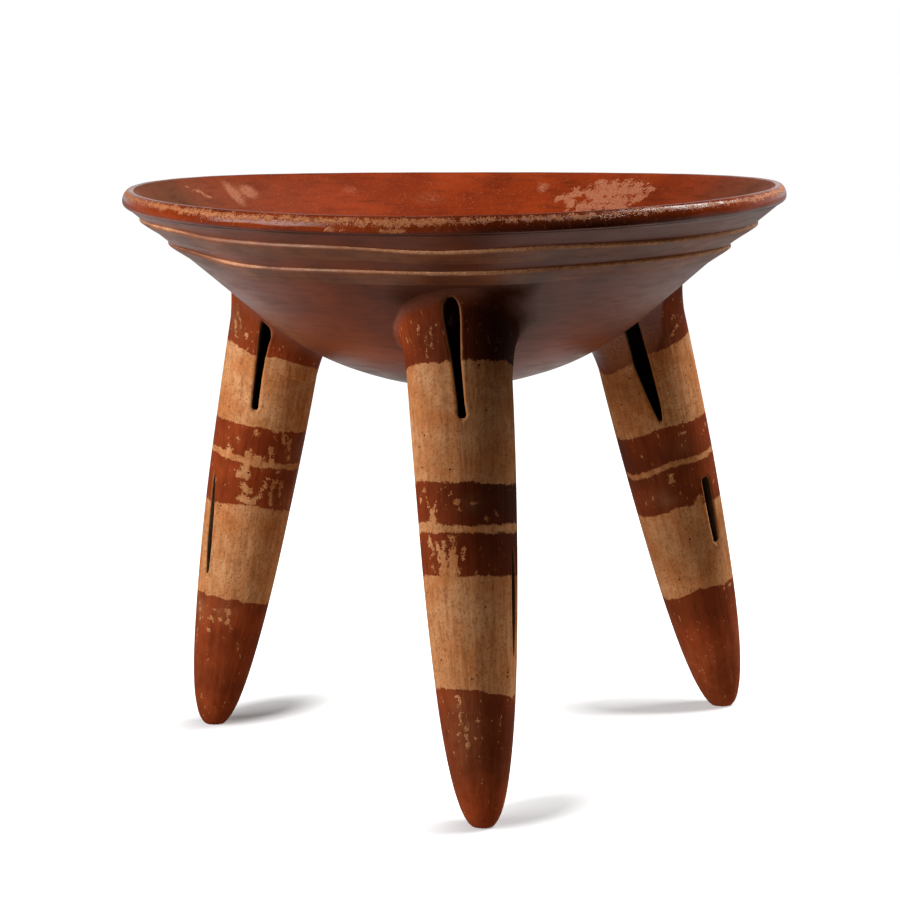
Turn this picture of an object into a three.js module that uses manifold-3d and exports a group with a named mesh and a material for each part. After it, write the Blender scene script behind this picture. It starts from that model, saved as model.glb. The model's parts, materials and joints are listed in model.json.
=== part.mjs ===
// Tripod rattle bowl in slipped and burnished earthenware.
// A wide shallow bowl stands on three hollow, tapering, slit legs. Loose fired-clay
// pellets lie in each leg and rattle when the bowl is moved.
// Millimetres and degrees, Z up. The origin is on the floor, under the middle of the rim.

import * as THREE from 'three';
import { mergeVertices } from 'three/addons/utils/BufferGeometryUtils.js';
import Module from 'manifold-3d';

const wasm = await Module();
wasm.setup();

// Driving dimensions of the bowl.
const rimRadius = 120;
const undersideHeight = 135.5;
const bellyRadius = 108.7;
const wallLean = 39.8;
const wallThickness = 6;
const luteGap = 0.3;

// A hand-built bowl is never true: its rim is tilted, saddled and twisted by these heights,
// which fade towards the middle with the square of the radius.
const rimTilt = 1;
const rimSaddle = 1.35;
const rimTwist = -0.45;

// The coil that thickens the lip: it overhangs the wall outside and is wiped down inside.
const rollHeight = 5.92;
const rollOverhang = 1.7;
const rollShoulder = 2.8;
const rollTopDrop = 3.4;
const rollInsideReach = 3.4;
const neckDepth = 0.6;

// The two applied ridges below the lip. Their lengths are taken along the wall: bare wall
// above each one, a crisp shoulder up to its crest, and a long tail wiped down below it.
const upperRidgeDrop = 6.7;
const ridgeLand = 3.5;
const ridgeShoulder = 1.2;
const ridgeTail = 8.5;
const ridgeProud = 0.9;
const ridgeBedDepth = 1.3;
const ridgeTailEdge = 0.1;

// The legs: one taper for all three, each set under the bowl with its own lean.
const legRadius = 18.1;
const legTaperLength = 180;
const legRun = 194;
const legWall = 4.5;
const tipSolidLength = 14;
const footWear = 1;
const rootInset = 41.7;
const rootHeight = 150;
const legSplay = 33;
const taperPowerShare = 0.36;

// The knife-cut slit at a leg's root widens upwards. The leaf-shaped slit is lower down.
const rootSlitLength = 40;
const rootSlitHead = 6;
const rootSlitFoot = 2.2;
const leafSlitHeight = 78;
const leafSlitLength = 36;
const leafSlitWidth = 3;

// Each leg departs from those sizes by its own shares. Its turns are degrees round the bowl
// for the leg, and degrees round the leg, from outwards, for its slits.
const legs = [
  {
    name: 'front', rootTurn: 270.9, footTurn: 274.6, insetShare: 1, splayShare: 1.01, girthShare: 0.995,
    rootSlit: { turn: -13, tilt: 3.2, lengthShare: 0.8, headShare: 1.03, footShare: 1 },
    leafSlit: { turn: 55, heightShare: 0.95, lengthShare: 1.03, widthShare: 1 },
  },
  {
    name: 'left', rootTurn: 153.7, footTurn: 161, insetShare: 1.046, splayShare: 0.7, girthShare: 0.993,
    rootSlit: { turn: 78, tilt: -0.6, lengthShare: 1.04, headShare: 0.93, footShare: 1.09 },
    leafSlit: { turn: 33, heightShare: 1.01, lengthShare: 1.06, widthShare: 1 },
  },
  {
    name: 'right', rootTurn: 25.1, footTurn: 29.4, insetShare: 0.973, splayShare: 1.37, girthShare: 1.011,
    rootSlit: { turn: -127.5, tilt: 4.6, lengthShare: 1.15, headShare: 1.1, footShare: 1 },
    leafSlit: { turn: -81, heightShare: 1.1, lengthShare: 0.86, widthShare: 1.2 },
  },
];

// The luting coil round each leg's root, drawn out into a flare on the bowl.
const collarHeight = 19;
const collarFlare = 5.6;
const collarEdge = 0.8;

// The rattle pellets, which lie side by side where the leg grows too narrow for them.
const pelletRadius = 4;
const pelletGap = 0.4;
const pelletCount = 3;

// How finely the round forms are faceted, and how far cutters run past what they cut.
const bowlSides = 72;
const legSides = 24;
const bellySteps = 8;
const legSteps = 12;
const flareSteps = 5;
const boreSteps = 3;
const slitSteps = 3;
const rollSteps = 3;
const bisections = 30;
const overrun = 12;

const leanAngle = THREE.MathUtils.degToRad(wallLean);
const bellyCentreHeight = undersideHeight + bellyRadius;
const seatRadius = rimRadius - rollOverhang;
const upperRidgeTop = seatRadius - upperRidgeDrop * Math.cos(leanAngle);
const ridgePitch = (ridgeShoulder + ridgeTail + ridgeLand) * Math.cos(leanAngle);
const ridgeTops = [upperRidgeTop - ridgePitch, upperRidgeTop];

const clay = {
  burnished: new THREE.MeshStandardMaterial({ color: 0x8c3a20, roughness: 0.38, metalness: 0 }),
  lip: new THREE.MeshStandardMaterial({ color: 0x9a3c1c, roughness: 0.34, metalness: 0 }),
  ridge: new THREE.MeshStandardMaterial({ color: 0x8f5636, roughness: 0.5, metalness: 0 }),
  leg: new THREE.MeshStandardMaterial({ color: 0xb5794a, roughness: 0.62, metalness: 0 }),
  collar: new THREE.MeshStandardMaterial({ color: 0x7c3320, roughness: 0.5, metalness: 0 }),
  pellet: new THREE.MeshStandardMaterial({ color: 0xa4683f, roughness: 0.8, metalness: 0 }),
};

// Merges a geometry's corners and drops triangles that have no area.
function weld(geometry) {
  const bare = geometry.clone();
  bare.deleteAttribute('normal');
  bare.deleteAttribute('uv');
  const merged = mergeVertices(bare);
  const from = merged.getIndex().array;
  const kept = [];
  for (let i = 0; i < from.length; i += 3) {
    const [a, b, c] = [from[i], from[i + 1], from[i + 2]];
    if (a !== b && b !== c && c !== a) {
      kept.push(a, b, c);
    }
  }
  merged.setIndex(kept);
  return merged;
}

function solidFrom(geometry) {
  const welded = weld(geometry);
  return new wasm.Manifold(new wasm.Mesh({
    numProp: 3,
    vertProperties: new Float32Array(welded.getAttribute('position').array),
    triVerts: new Uint32Array(welded.getIndex().array),
  }));
}

function geometryFrom(solid) {
  const mesh = solid.getMesh();
  const geometry = new THREE.BufferGeometry();
  geometry.setAttribute('position', new THREE.BufferAttribute(new Float32Array(mesh.vertProperties), 3));
  geometry.setIndex(new THREE.BufferAttribute(new Uint32Array(mesh.triVerts), 1));
  return geometry;
}

function piece(name, geometry, material) {
  const welded = weld(geometry);
  welded.computeVertexNormals();
  const mesh = new THREE.Mesh(welded, material);
  mesh.name = name;
  return mesh;
}

// Turns an outline of [radius, height] pairs about the Z axis.
function turned(outline, sides) {
  const points = outline.map(([radius, height]) => new THREE.Vector2(radius, height));
  return new THREE.LatheGeometry(points, sides).rotateX(Math.PI / 2);
}

// How far the hand-built bowl stands above a true one at a place.
function handRise(x, y) {
  const angle = Math.atan2(y, x);
  const rise = rimTilt * Math.cos(angle) + rimSaddle * Math.cos(2 * angle) + rimTwist * Math.sin(2 * angle);
  return rise * ((x * x + y * y) / (rimRadius * rimRadius));
}

// Turns an outline and then raises it by the hand-built rise.
function handTurned(outline) {
  const geometry = turned(outline, bowlSides);
  const places = geometry.getAttribute('position');
  for (let i = 0; i < places.count; i += 1) {
    places.setZ(i, places.getZ(i) + handRise(places.getX(i), places.getY(i)));
  }
  return geometry;
}

// A point on the bowl's straight wall: its radius on the outer face, moved out along the
// wall's normal, which points down and outwards.
function onWall(radius, out) {
  const bellyEdge = bellyRadius * Math.sin(leanAngle);
  const bellyEdgeHeight = bellyCentreHeight - bellyRadius * Math.cos(leanAngle);
  return [
    radius + out * Math.sin(leanAngle),
    bellyEdgeHeight + (radius - bellyEdge) * Math.tan(leanAngle) - out * Math.cos(leanAngle),
  ];
}

// The belly is an arc about a centre on the axis. This lists it from the axis outwards.
function bellyArc(radius) {
  const arc = [];
  for (let i = 0; i <= bellySteps; i += 1) {
    const angle = leanAngle * (i / bellySteps);
    arc.push([radius * Math.sin(angle), bellyCentreHeight - radius * Math.cos(angle)]);
  }
  return arc;
}

// The radius, on the wall's line moved out by a distance, at which a height is reached.
function wallRadiusAt(height, out) {
  const [radius, startHeight] = onWall(seatRadius, out);
  return radius + (height - startHeight) / Math.tan(leanAngle);
}

const seatHeight = onWall(seatRadius, 0)[1];
const seatInnerRadius = wallRadiusAt(seatHeight, -wallThickness);

// The height of the bowl's outer face at a radius, with the face moved out by a gap.
function undersideAt(radius, gap) {
  const outer = bellyRadius + gap;
  if (radius < outer * Math.sin(leanAngle)) {
    return bellyCentreHeight - Math.sqrt(outer * outer - radius * radius);
  }
  const [wallRadius, wallHeight] = onWall(seatRadius, gap);
  return wallHeight + (radius - wallRadius) * Math.tan(leanAngle);
}

// A ridge's bed runs down the wall from its shoulder, past its crest, to the end of its tail.
function ridgeBed(top) {
  const crest = top - ridgeShoulder * Math.cos(leanAngle);
  const bottom = crest - ridgeTail * Math.cos(leanAngle);
  return { crest, bottom };
}

function bowlSolid() {
  const outline = bellyArc(bellyRadius);
  for (const top of ridgeTops) {
    const bed = ridgeBed(top);
    outline.push(onWall(bed.bottom, 0), onWall(bed.bottom, -ridgeBedDepth));
    outline.push(onWall(top, -ridgeBedDepth), onWall(top, -neckDepth));
  }
  outline.push([seatRadius, seatHeight], [seatInnerRadius, seatHeight]);
  outline.push(...bellyArc(bellyRadius - wallThickness).reverse());
  return handTurned(outline);
}

// A coil pressed on a shallow bed: a crisp upper shoulder, a crest, and a long wiped tail.
function ridgeRing(bedTop) {
  const bed = ridgeBed(bedTop);
  const back = luteGap - ridgeBedDepth;
  const tail = bed.bottom + luteGap;
  const top = bedTop - luteGap;
  const outline = [
    onWall(tail, back),
    onWall(tail, ridgeTailEdge),
    onWall((bed.crest + tail) / 2, ridgeProud / 2),
    onWall((bed.crest * 3 + tail) / 4, ridgeProud),
    onWall(bed.crest, ridgeProud),
    onWall(top, back / 2),
    onWall(top, back),
  ];
  outline.push(outline[0]);
  return handTurned(outline);
}

// The lip coil sits on the wall's level rim: round outside and on top, wiped down inside.
function rimRoll() {
  const under = seatHeight + luteGap;
  const crestHeight = seatHeight + rollHeight;
  const crestRadius = rimRadius - rollShoulder;
  const waist = crestHeight - rollTopDrop;
  const outline = [[seatInnerRadius, under]];
  for (let i = -rollSteps; i <= rollSteps; i += 1) {
    const angle = (Math.PI / 2) * (i / rollSteps);
    const drop = i < 0 ? waist - under : rollTopDrop;
    outline.push([crestRadius + rollShoulder * Math.cos(angle), waist + drop * Math.sin(angle)]);
  }
  outline.push([crestRadius - rollInsideReach, crestHeight - rollTopDrop / 4]);
  outline.push([(seatInnerRadius + crestRadius - rollInsideReach) / 2, (under + waist) / 2 + luteGap]);
  outline.push(outline[0]);
  return handTurned(outline);
}

// A leg's own frame: where its tip stands, the way up its axis, and the two directions
// across it. Turn zero faces away from the bowl's middle.
function legFrame(leg) {
  const place = (reach, turn, height) => {
    const angle = THREE.MathUtils.degToRad(turn);
    return new THREE.Vector3(reach * Math.cos(angle), reach * Math.sin(angle), height);
  };
  const rootReach = seatRadius - rootInset * leg.insetShare;
  const foot = place(rootReach + legSplay * leg.splayShare, leg.footTurn, 0);
  const root = place(rootReach, leg.rootTurn, rootHeight);
  const up = root.clone().sub(foot).normalize();
  const away = foot.clone().sub(root).setZ(0).normalize();
  const out = away.addScaledVector(up, -away.dot(up)).normalize();
  const side = up.clone().cross(out);
  return { foot, up, out, side };
}

function legPlacement(frame) {
  return new THREE.Matrix4().makeBasis(frame.out, frame.side, frame.up).setPosition(frame.foot);
}

// The blunt taper of leg and cavity: full girth at the end of its run, closing to a round tip.
function taperShare(share) {
  const rest = 1 - Math.min(Math.max(share, 0), 1);
  return (1 - rest * rest) ** taperPowerShare;
}

function legRadiusAt(leg, height) {
  return legRadius * leg.girthShare * taperShare((height + footWear) / legTaperLength);
}

function cavityRadiusAt(leg, height) {
  const run = legTaperLength - tipSolidLength;
  return (legRadius * leg.girthShare - legWall) * taperShare((height - tipSolidLength) / run);
}

// A tapering solid from a tip up to a top, with its rings drawn closer towards the tip.
function taperSolid(radiusAt, tip, top) {
  const outline = [];
  for (let i = 0; i <= legSteps; i += 1) {
    const height = tip + (top - tip) * (i / legSteps) ** 2;
    outline.push([i === 0 ? 0 : radiusAt(height), height]);
  }
  outline.push([0, top]);
  return turned(outline, legSides);
}

// Stands a flat cutter outline on the leg's axis, facing out at a turn, and runs it outwards.
function slitCutter(frame, shape, turn) {
  const angle = THREE.MathUtils.degToRad(turn);
  const face = frame.out.clone().multiplyScalar(Math.cos(angle));
  face.addScaledVector(frame.side, Math.sin(angle));
  const across = frame.up.clone().cross(face);
  const cutter = new THREE.ExtrudeGeometry(shape, {
    depth: legRadius + collarFlare + overrun,
    bevelEnabled: false,
    curveSegments: slitSteps,
  });
  cutter.applyMatrix4(new THREE.Matrix4().makeBasis(across, frame.up, face).setPosition(frame.foot));
  return solidFrom(cutter);
}

// The root slit is measured down from where the leg's axis meets the bowl, and its head is
// as wide as named there.
function rootSlitCutter(frame, slit) {
  const mouth = faceAlong(frame, frame.out, 0);
  const bottom = mouth - rootSlitLength * slit.lengthShare;
  const top = legRun + overrun;
  const foot = (rootSlitFoot * slit.footShare) / 2;
  const head = (rootSlitHead * slit.headShare) / 2;
  const topHalf = foot + ((head - foot) * (top - bottom)) / (mouth - bottom);
  const shift = -(top - bottom) * Math.tan(THREE.MathUtils.degToRad(slit.tilt));
  const shape = new THREE.Shape();
  shape.moveTo(shift - topHalf, top);
  shape.lineTo(-foot, bottom + foot);
  shape.quadraticCurveTo(-foot, bottom, 0, bottom);
  shape.quadraticCurveTo(foot, bottom, foot, bottom + foot);
  shape.lineTo(shift + topHalf, top);
  shape.closePath();
  return slitCutter(frame, shape, slit.turn);
}

// The lower slit is a long leaf, pointed at both ends.
function leafSlitCutter(frame, slit) {
  const half = (leafSlitLength * slit.lengthShare) / 2;
  const middle = leafSlitHeight * slit.heightShare;
  const bulge = leafSlitWidth * slit.widthShare;
  const shape = new THREE.Shape();
  shape.moveTo(0, middle - half);
  shape.quadraticCurveTo(bulge, middle, 0, middle + half);
  shape.quadraticCurveTo(-bulge, middle, 0, middle - half);
  return slitCutter(frame, shape, slit.turn);
}

// All that lies above the bowl's outer face, with the face moved out by the luting gap and
// its wall carried on past the rim, so that roots end just under the bowl.
function aboveBowl() {
  const reach = rimRadius + legRadius + overrun;
  const top = Math.max(onWall(reach, 0)[1], legRun) + overrun;
  const outline = bellyArc(bellyRadius + luteGap);
  outline.push(onWall(reach, luteGap), [reach, top], [0, top]);
  return solidFrom(handTurned(outline));
}

function floorBlock() {
  const size = (rimRadius + legSplay + overrun) * 2;
  return solidFrom(new THREE.BoxGeometry(size, size, overrun).translate(0, 0, -overrun / 2));
}

function legTube(leg, frame) {
  const placement = legPlacement(frame);
  const outside = taperSolid((height) => legRadiusAt(leg, height), -footWear, legRun);
  const inside = taperSolid((height) => cavityRadiusAt(leg, height), tipSolidLength, legRun + overrun);
  return solidFrom(outside.applyMatrix4(placement))
    .subtract(solidFrom(inside.applyMatrix4(placement)))
    .subtract(aboveBowl())
    .subtract(floorBlock())
    .subtract(rootSlitCutter(frame, leg.rootSlit))
    .subtract(leafSlitCutter(frame, leg.leafSlit));
}

// How far up a line beside the leg's axis the bowl's face lies, found by halving.
function faceAlong(frame, direction, radius) {
  const start = frame.foot.clone().addScaledVector(direction, radius);
  let low = 0;
  let high = legRun + overrun;
  for (let i = 0; i < bisections; i += 1) {
    const middle = (low + high) / 2;
    const point = start.clone().addScaledVector(frame.up, middle);
    if (point.z < undersideAt(Math.hypot(point.x, point.y), luteGap) + handRise(point.x, point.y)) {
      low = middle;
    } else {
      high = middle;
    }
  }
  return low;
}

// The collar is lofted round the leg: at each turn its section is a concave fillet that
// leaves the leg upright and meets the bowl flush, hung from the bowl's own curve.
function collarGeometry(leg, frame) {
  const corners = [];
  const faces = [];
  const ring = boreSteps + flareSteps + 2;
  for (let j = 0; j < legSides; j += 1) {
    const angle = 2 * Math.PI * (j / legSides);
    const direction = frame.out.clone().multiplyScalar(Math.cos(angle));
    direction.addScaledVector(frame.side, Math.sin(angle));
    const bore = legRadius * leg.girthShare + luteGap;
    const put = (radius, below) => {
      const along = faceAlong(frame, direction, radius) - below;
      const point = frame.foot.clone().addScaledVector(direction, radius);
      corners.push(...point.addScaledVector(frame.up, along).toArray());
    };
    for (let i = 0; i <= boreSteps; i += 1) {
      put(bore, collarHeight * (i / boreSteps));
    }
    for (let i = 0; i <= flareSteps; i += 1) {
      const bend = (Math.PI / 2) * (i / flareSteps);
      const radius = bore + collarEdge + collarFlare * (1 - Math.cos(bend));
      put(radius, collarEdge + (collarHeight - collarEdge) * (1 - Math.sin(bend)));
    }
  }
  for (let j = 0; j < legSides; j += 1) {
    const here = j * ring;
    const next = ((j + 1) % legSides) * ring;
    for (let i = 0; i < ring; i += 1) {
      const k = (i + 1) % ring;
      faces.push(here + i, next + k, here + k, here + i, next + i, next + k);
    }
  }
  const geometry = new THREE.BufferGeometry();
  geometry.setAttribute('position', new THREE.BufferAttribute(new Float32Array(corners), 3));
  geometry.setIndex(faces);
  return geometry;
}

function collar(leg, frame) {
  return solidFrom(collarGeometry(leg, frame)).subtract(rootSlitCutter(frame, leg.rootSlit));
}

// The pellets touch the tapering cavity all at one height, which the taper gives when it is
// solved for the radius that the ring of pellets needs.
function pelletHeight(leg) {
  const ringRadius = pelletRingRadius();
  const needed = (ringRadius + pelletRadius + pelletGap) / (legRadius * leg.girthShare - legWall);
  const share = 1 - Math.sqrt(1 - needed ** (1 / taperPowerShare));
  return tipSolidLength + (legTaperLength - tipSolidLength) * share;
}

function pelletRingRadius() {
  return (2 * pelletRadius + pelletGap) / (2 * Math.sin(Math.PI / pelletCount));
}

function pellet(leg, frame, number) {
  const angle = 2 * Math.PI * ((number - 1) / pelletCount);
  const centre = new THREE.Vector3(
    pelletRingRadius() * Math.cos(angle),
    pelletRingRadius() * Math.sin(angle),
    pelletHeight(leg),
  ).applyMatrix4(legPlacement(frame));
  const ball = new THREE.IcosahedronGeometry(pelletRadius, 1);
  const mesh = piece(`${leg.name}_pellet_${number}`, ball, clay.pellet);
  mesh.position.copy(centre);
  return mesh;
}

const bowl = new THREE.Group();
bowl.name = 'tripod_rattle_bowl';
bowl.add(piece('bowl', bowlSolid(), clay.burnished));
bowl.add(piece('rim_roll', rimRoll(), clay.lip));
bowl.add(piece('upper_ridge', ridgeRing(ridgeTops[1]), clay.ridge));
bowl.add(piece('lower_ridge', ridgeRing(ridgeTops[0]), clay.ridge));

for (const leg of legs) {
  const frame = legFrame(leg);
  bowl.add(piece(`${leg.name}_leg`, geometryFrom(legTube(leg, frame)), clay.leg));
  bowl.add(piece(`${leg.name}_leg_collar`, geometryFrom(collar(leg, frame)), clay.collar));
  for (let number = 1; number <= pelletCount; number += 1) {
    bowl.add(pellet(leg, frame, number));
  }
}

export default bowl;
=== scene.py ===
# %% [markdown]
# # A tripod rattle bowl in slipped and burnished earthenware
# The real thing is hand-built from clay coils: a wide shallow bowl with a thick lip and two
# ridges, on three hollow legs with knife-cut slits. Loose pellets in the legs rattle. Red
# slip covers the bowl, and the legs are painted in cream and red bands. The slip is
# polished with a pebble, so the clay shines softly without any glaze.
#
# The fixed frame comes first. It says where every solid of the built part stands, in metres.

import json
import math

import bpy
import numpy as np
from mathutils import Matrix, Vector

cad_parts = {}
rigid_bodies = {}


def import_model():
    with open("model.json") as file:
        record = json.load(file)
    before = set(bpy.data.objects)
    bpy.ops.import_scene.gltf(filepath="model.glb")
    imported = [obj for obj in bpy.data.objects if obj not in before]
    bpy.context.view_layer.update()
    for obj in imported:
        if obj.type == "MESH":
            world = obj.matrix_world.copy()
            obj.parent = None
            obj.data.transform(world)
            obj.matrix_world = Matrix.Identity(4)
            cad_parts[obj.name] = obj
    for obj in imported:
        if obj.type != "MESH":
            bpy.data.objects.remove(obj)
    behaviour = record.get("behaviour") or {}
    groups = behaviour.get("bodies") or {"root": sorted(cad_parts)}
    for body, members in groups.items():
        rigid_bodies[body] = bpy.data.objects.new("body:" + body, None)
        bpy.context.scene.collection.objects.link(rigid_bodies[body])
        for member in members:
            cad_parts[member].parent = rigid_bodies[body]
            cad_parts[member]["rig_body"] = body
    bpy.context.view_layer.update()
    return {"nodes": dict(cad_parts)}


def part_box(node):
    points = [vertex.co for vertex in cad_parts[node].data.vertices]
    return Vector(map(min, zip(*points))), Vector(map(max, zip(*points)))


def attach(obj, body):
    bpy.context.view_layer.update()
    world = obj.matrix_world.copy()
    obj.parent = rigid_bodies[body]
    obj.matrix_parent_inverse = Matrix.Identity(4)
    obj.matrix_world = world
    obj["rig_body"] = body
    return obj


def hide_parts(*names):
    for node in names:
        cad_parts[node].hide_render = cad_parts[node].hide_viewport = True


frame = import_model()

# %% [markdown]
# ## The camera
# The camera looks slightly down on the bowl through a long lens from about a metre away,
# which keeps the three legs nearly parallel. Its place was solved from the outline of the
# rim and the feet, so the numbers are not round.

# %% The camera
camera_data = bpy.data.cameras.new("camera")
camera_data.sensor_width = 36
camera_data.lens = 115.61
camera_data.clip_start = 0.05
camera_data.clip_end = 50
camera = bpy.data.objects.new("camera", camera_data)
camera.location = (-0.00912, -1.0506, 0.2759)
camera.rotation_euler = (math.radians(90 - 8.924), 0, math.radians(-0.415))
bpy.context.scene.collection.objects.link(camera)
bpy.context.scene.camera = camera
print("lens", round(camera_data.lens, 2), "mm at", tuple(round(v, 3) for v in camera.location))

# %% [markdown]
# ## Sizes of the bowl
# The looks follow the same few sizes as the solids: the rim, the belly's arc, and the lean
# of the wall. A hand-built rim is never level, so every part of the bowl is raised by the
# same gentle wave, which fades towards the middle.

# %% The bowl's sizes and its hand-built rise
RIM_RADIUS = 120.0
UNDERSIDE_HEIGHT = 135.5
BELLY_RADIUS = 108.7
WALL_LEAN = math.radians(39.8)
WALL_THICKNESS = 6.0
SEAT_RADIUS = 118.3
RIM_TILT = 1.0
RIM_SADDLE = 1.35
RIM_TWIST = -0.45
BELLY_CENTRE = UNDERSIDE_HEIGHT + BELLY_RADIUS


def hand_rise(x, y):
    """How far the bowl stands above a true one: a tilt, a saddle and a twist round the rim,
    each fading inwards with the square of the radius."""
    turn = np.arctan2(y, x)
    wave = RIM_TILT * np.cos(turn) + RIM_SADDLE * np.cos(2 * turn) + RIM_TWIST * np.sin(2 * turn)
    return wave * (x * x + y * y) / RIM_RADIUS**2


def on_wall(radius, out):
    """A place on the straight wall: its radius on the outer face, moved out along the
    face's normal by a distance."""
    edge = BELLY_RADIUS * math.sin(WALL_LEAN)
    edge_height = BELLY_CENTRE - BELLY_RADIUS * math.cos(WALL_LEAN)
    return (
        radius + out * math.sin(WALL_LEAN),
        edge_height + (radius - edge) * math.tan(WALL_LEAN) - out * math.cos(WALL_LEAN),
    )


def underside(radius):
    """The height of the bowl's outer face over the floor: the belly's arc, then the wall."""
    arc = BELLY_CENTRE - np.sqrt(np.maximum(BELLY_RADIUS**2 - radius**2, 0))
    return np.where(radius < BELLY_RADIUS * math.sin(WALL_LEAN), arc, on_wall(radius, 0)[1])


SEAT_HEIGHT = on_wall(SEAT_RADIUS, 0)[1]
print("seat of the lip at", round(SEAT_HEIGHT, 1), "mm over the floor")

# %% [markdown]
# ## Putting a surface into a mesh
# Every new piece is a grid of points worked out as one numpy array. Two helpers turn grids
# into faces, and one writes points, faces and marks into a Blender mesh. A mark is a number
# stored at each point, such as the distance to the edge of a painted band. The finish reads
# it later, so paint stays on the clay wherever the surface bends.


# %% Grid helpers
def round_axis(radius, turn):
    """x and y of places round an axis: the radius times the cosine of the turn, and the
    radius times its sine."""
    return radius * np.cos(np.radians(turn)), radius * np.sin(np.radians(turn))


def across(rows, columns):
    """The four-cornered faces between neighbouring rows and columns of a grid of points,
    numbered row by row. The last column is joined to the first."""
    row = np.arange(rows - 1)[:, None]
    column = np.arange(columns)[None, :]
    beside = (column + 1) % columns
    corners = [row * columns + column, row * columns + beside]
    corners += [(row + 1) * columns + beside, (row + 1) * columns + column]
    return np.stack(np.broadcast_arrays(*corners), axis=-1)


def fan(pole, ring, outward=True):
    """Triangles from one pole to a closed ring of points."""
    pair = (np.roll(ring, -1), ring) if outward else (ring, np.roll(ring, -1))
    return np.stack([np.full(len(ring), pole), *pair], axis=-1)


def into_mesh(name, points, face_sets, marks, finishes, finish_sets=None):
    """Writes points in millimetres, faces with three or four corners, and marks into a new
    object whose place is in its mesh."""
    mesh = bpy.data.meshes.new(name)
    mesh.vertices.add(len(points))
    mesh.vertices.foreach_set("co", (points / 1000).astype(np.float32).ravel())
    corners = np.concatenate([faces.ravel() for faces in face_sets])
    widths = np.concatenate([np.full(len(faces), faces.shape[1]) for faces in face_sets])
    mesh.loops.add(len(corners))
    mesh.loops.foreach_set("vertex_index", corners.astype(np.int32))
    mesh.polygons.add(len(widths))
    mesh.polygons.foreach_set("loop_start", (np.cumsum(widths) - widths).astype(np.int32))
    mesh.polygons.foreach_set("use_smooth", np.ones(len(widths), bool))
    for finish in finishes:
        mesh.materials.append(finish)
    if finish_sets is not None:
        slots = np.concatenate([np.full(len(f), s) for f, s in zip(face_sets, finish_sets)])
        mesh.polygons.foreach_set("material_index", slots.astype(np.int32))
    for mark, values in marks.items():
        kind = "FLOAT_VECTOR" if values.ndim == 2 else "FLOAT"
        store = mesh.attributes.new(mark, kind, "POINT")
        store.data.foreach_set("vector" if values.ndim == 2 else "value", values.astype(np.float32).ravel())
    mesh.update(calc_edges=True)
    mesh.validate()
    piece = bpy.data.objects.new(name, mesh)
    bpy.context.scene.collection.objects.link(piece)
    print(name, "has", int((widths - 2).sum()), "triangles")
    return piece


# %% [markdown]
# ## Marks that a finish reads
# Wear and soot, and the painted shade, sheen and highlights, sit at places that can be named:
# so many degrees round the bowl, so many millimetres along the clay. A rub is a short stroke
# with a half width. Its mark is the distance inside the stroke's edge, so the finish can
# roughen that edge with noise. A cloud is soft, and its mark runs from nothing to one.


# %% Rubs and clouds
NO_RUB = -20.0  # the mark of a place with no rub near it


def wrapped(degrees):
    """An angle brought to between -180 and 180 degrees."""
    return (degrees + 180) % 360 - 180


def rubbed(turn, along, radius, rubs):
    """The distance inside the nearest rub, in millimetres, and below nothing outside them.
    A rub is (turn, along, turn, along, half width), from one end of its stroke to the other."""
    deepest = np.full(np.shape(turn), NO_RUB)
    for turn_a, along_a, turn_b, along_b, half in rubs:
        x = np.radians(wrapped(turn - turn_a)) * radius
        y = along - along_a
        end_x = np.radians(wrapped(turn_b - turn_a)) * radius
        end_y = along_b - along_a
        share = np.clip((x * end_x + y * end_y) / np.maximum(end_x**2 + end_y**2, 1e-6), 0, 1)
        deepest = np.maximum(deepest, half - np.hypot(x - share * end_x, y - share * end_y))
    return deepest


def clouded(turn, along, radius, clouds):
    """How deep in a cloud a place lies, from 0 to 1. A cloud is (turn, along, reach round,
    reach along, strength), and it thins out as a bell curve."""
    clear = np.ones(np.shape(turn))
    for turn_at, along_at, reach_round, reach_along, strength in clouds:
        x = np.radians(wrapped(turn - turn_at)) * radius / reach_round
        y = (along - along_at) / reach_along
        clear *= 1 - strength * np.exp(-(x * x + y * y))
    return 1 - clear


one_rub = [(0, 0, 5, 0, 1)]
print("a rub 2 mm wide is", rubbed(np.zeros(1), np.zeros(1), 100, one_rub)[0], "mm deep at its end")


# %% [markdown]
# ## Colours and finishes
# The bowl has one material, fired earthenware, in several finishes: polished red slip, slip
# smoked nearly black where fuel touched it in the fire and darkened as painted shade in
# creases and on sides away from the lamps, slip rubbed down to the buff clay, and a matt
# cream paint on the legs. Colours are written as hex values, the way a colour picker gives
# them, and one function turns them into the linear values that light needs.


# %% Colours and nodes
def linear(hex_colour):
    """A hex colour as linear red, green, blue and full opacity, by the sRGB curve."""
    values = [int(hex_colour[i : i + 2], 16) / 255 for i in (1, 3, 5)]
    curve = [v / 12.92 if v <= 0.04045 else ((v + 0.055) / 1.055) ** 2.4 for v in values]
    return (*curve, 1.0)


def add_node(tree, kind, inputs=None, **settings):
    """Adds a node, sets its settings, and fills each named or numbered input with another
    node's result, a hex colour or a plain value."""
    made = tree.nodes.new("ShaderNode" + kind)
    for setting, value in settings.items():
        setattr(made, setting, value)
    for socket, value in (inputs or {}).items():
        if isinstance(value, bpy.types.Node):
            value = next(output for output in value.outputs if output.enabled)
        if isinstance(value, bpy.types.NodeSocket):
            tree.links.new(value, made.inputs[socket])
        else:
            made.inputs[socket].default_value = linear(value) if isinstance(value, str) else value
    return made


print("red slip is", [round(v, 3) for v in linear("#8a3a1e")])

# %% [markdown]
# Every finish reads the same place on the clay, in millimetres, so a grain that is one
# millimetre wide on the real bowl is written as 1. Painted and rubbed edges are ragged: the
# distance to the edge is pushed in and out by a coarse noise and a fine one, and what is
# left above nothing counts as inside. Relief is in millimetres too.


# %% Helpers for finishes on clay
def new_finish(name):
    """A new material with its node tree emptied."""
    finish = bpy.data.materials.new(name)
    finish.use_nodes = True
    finish.node_tree.nodes.clear()
    return finish, finish.node_tree


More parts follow.
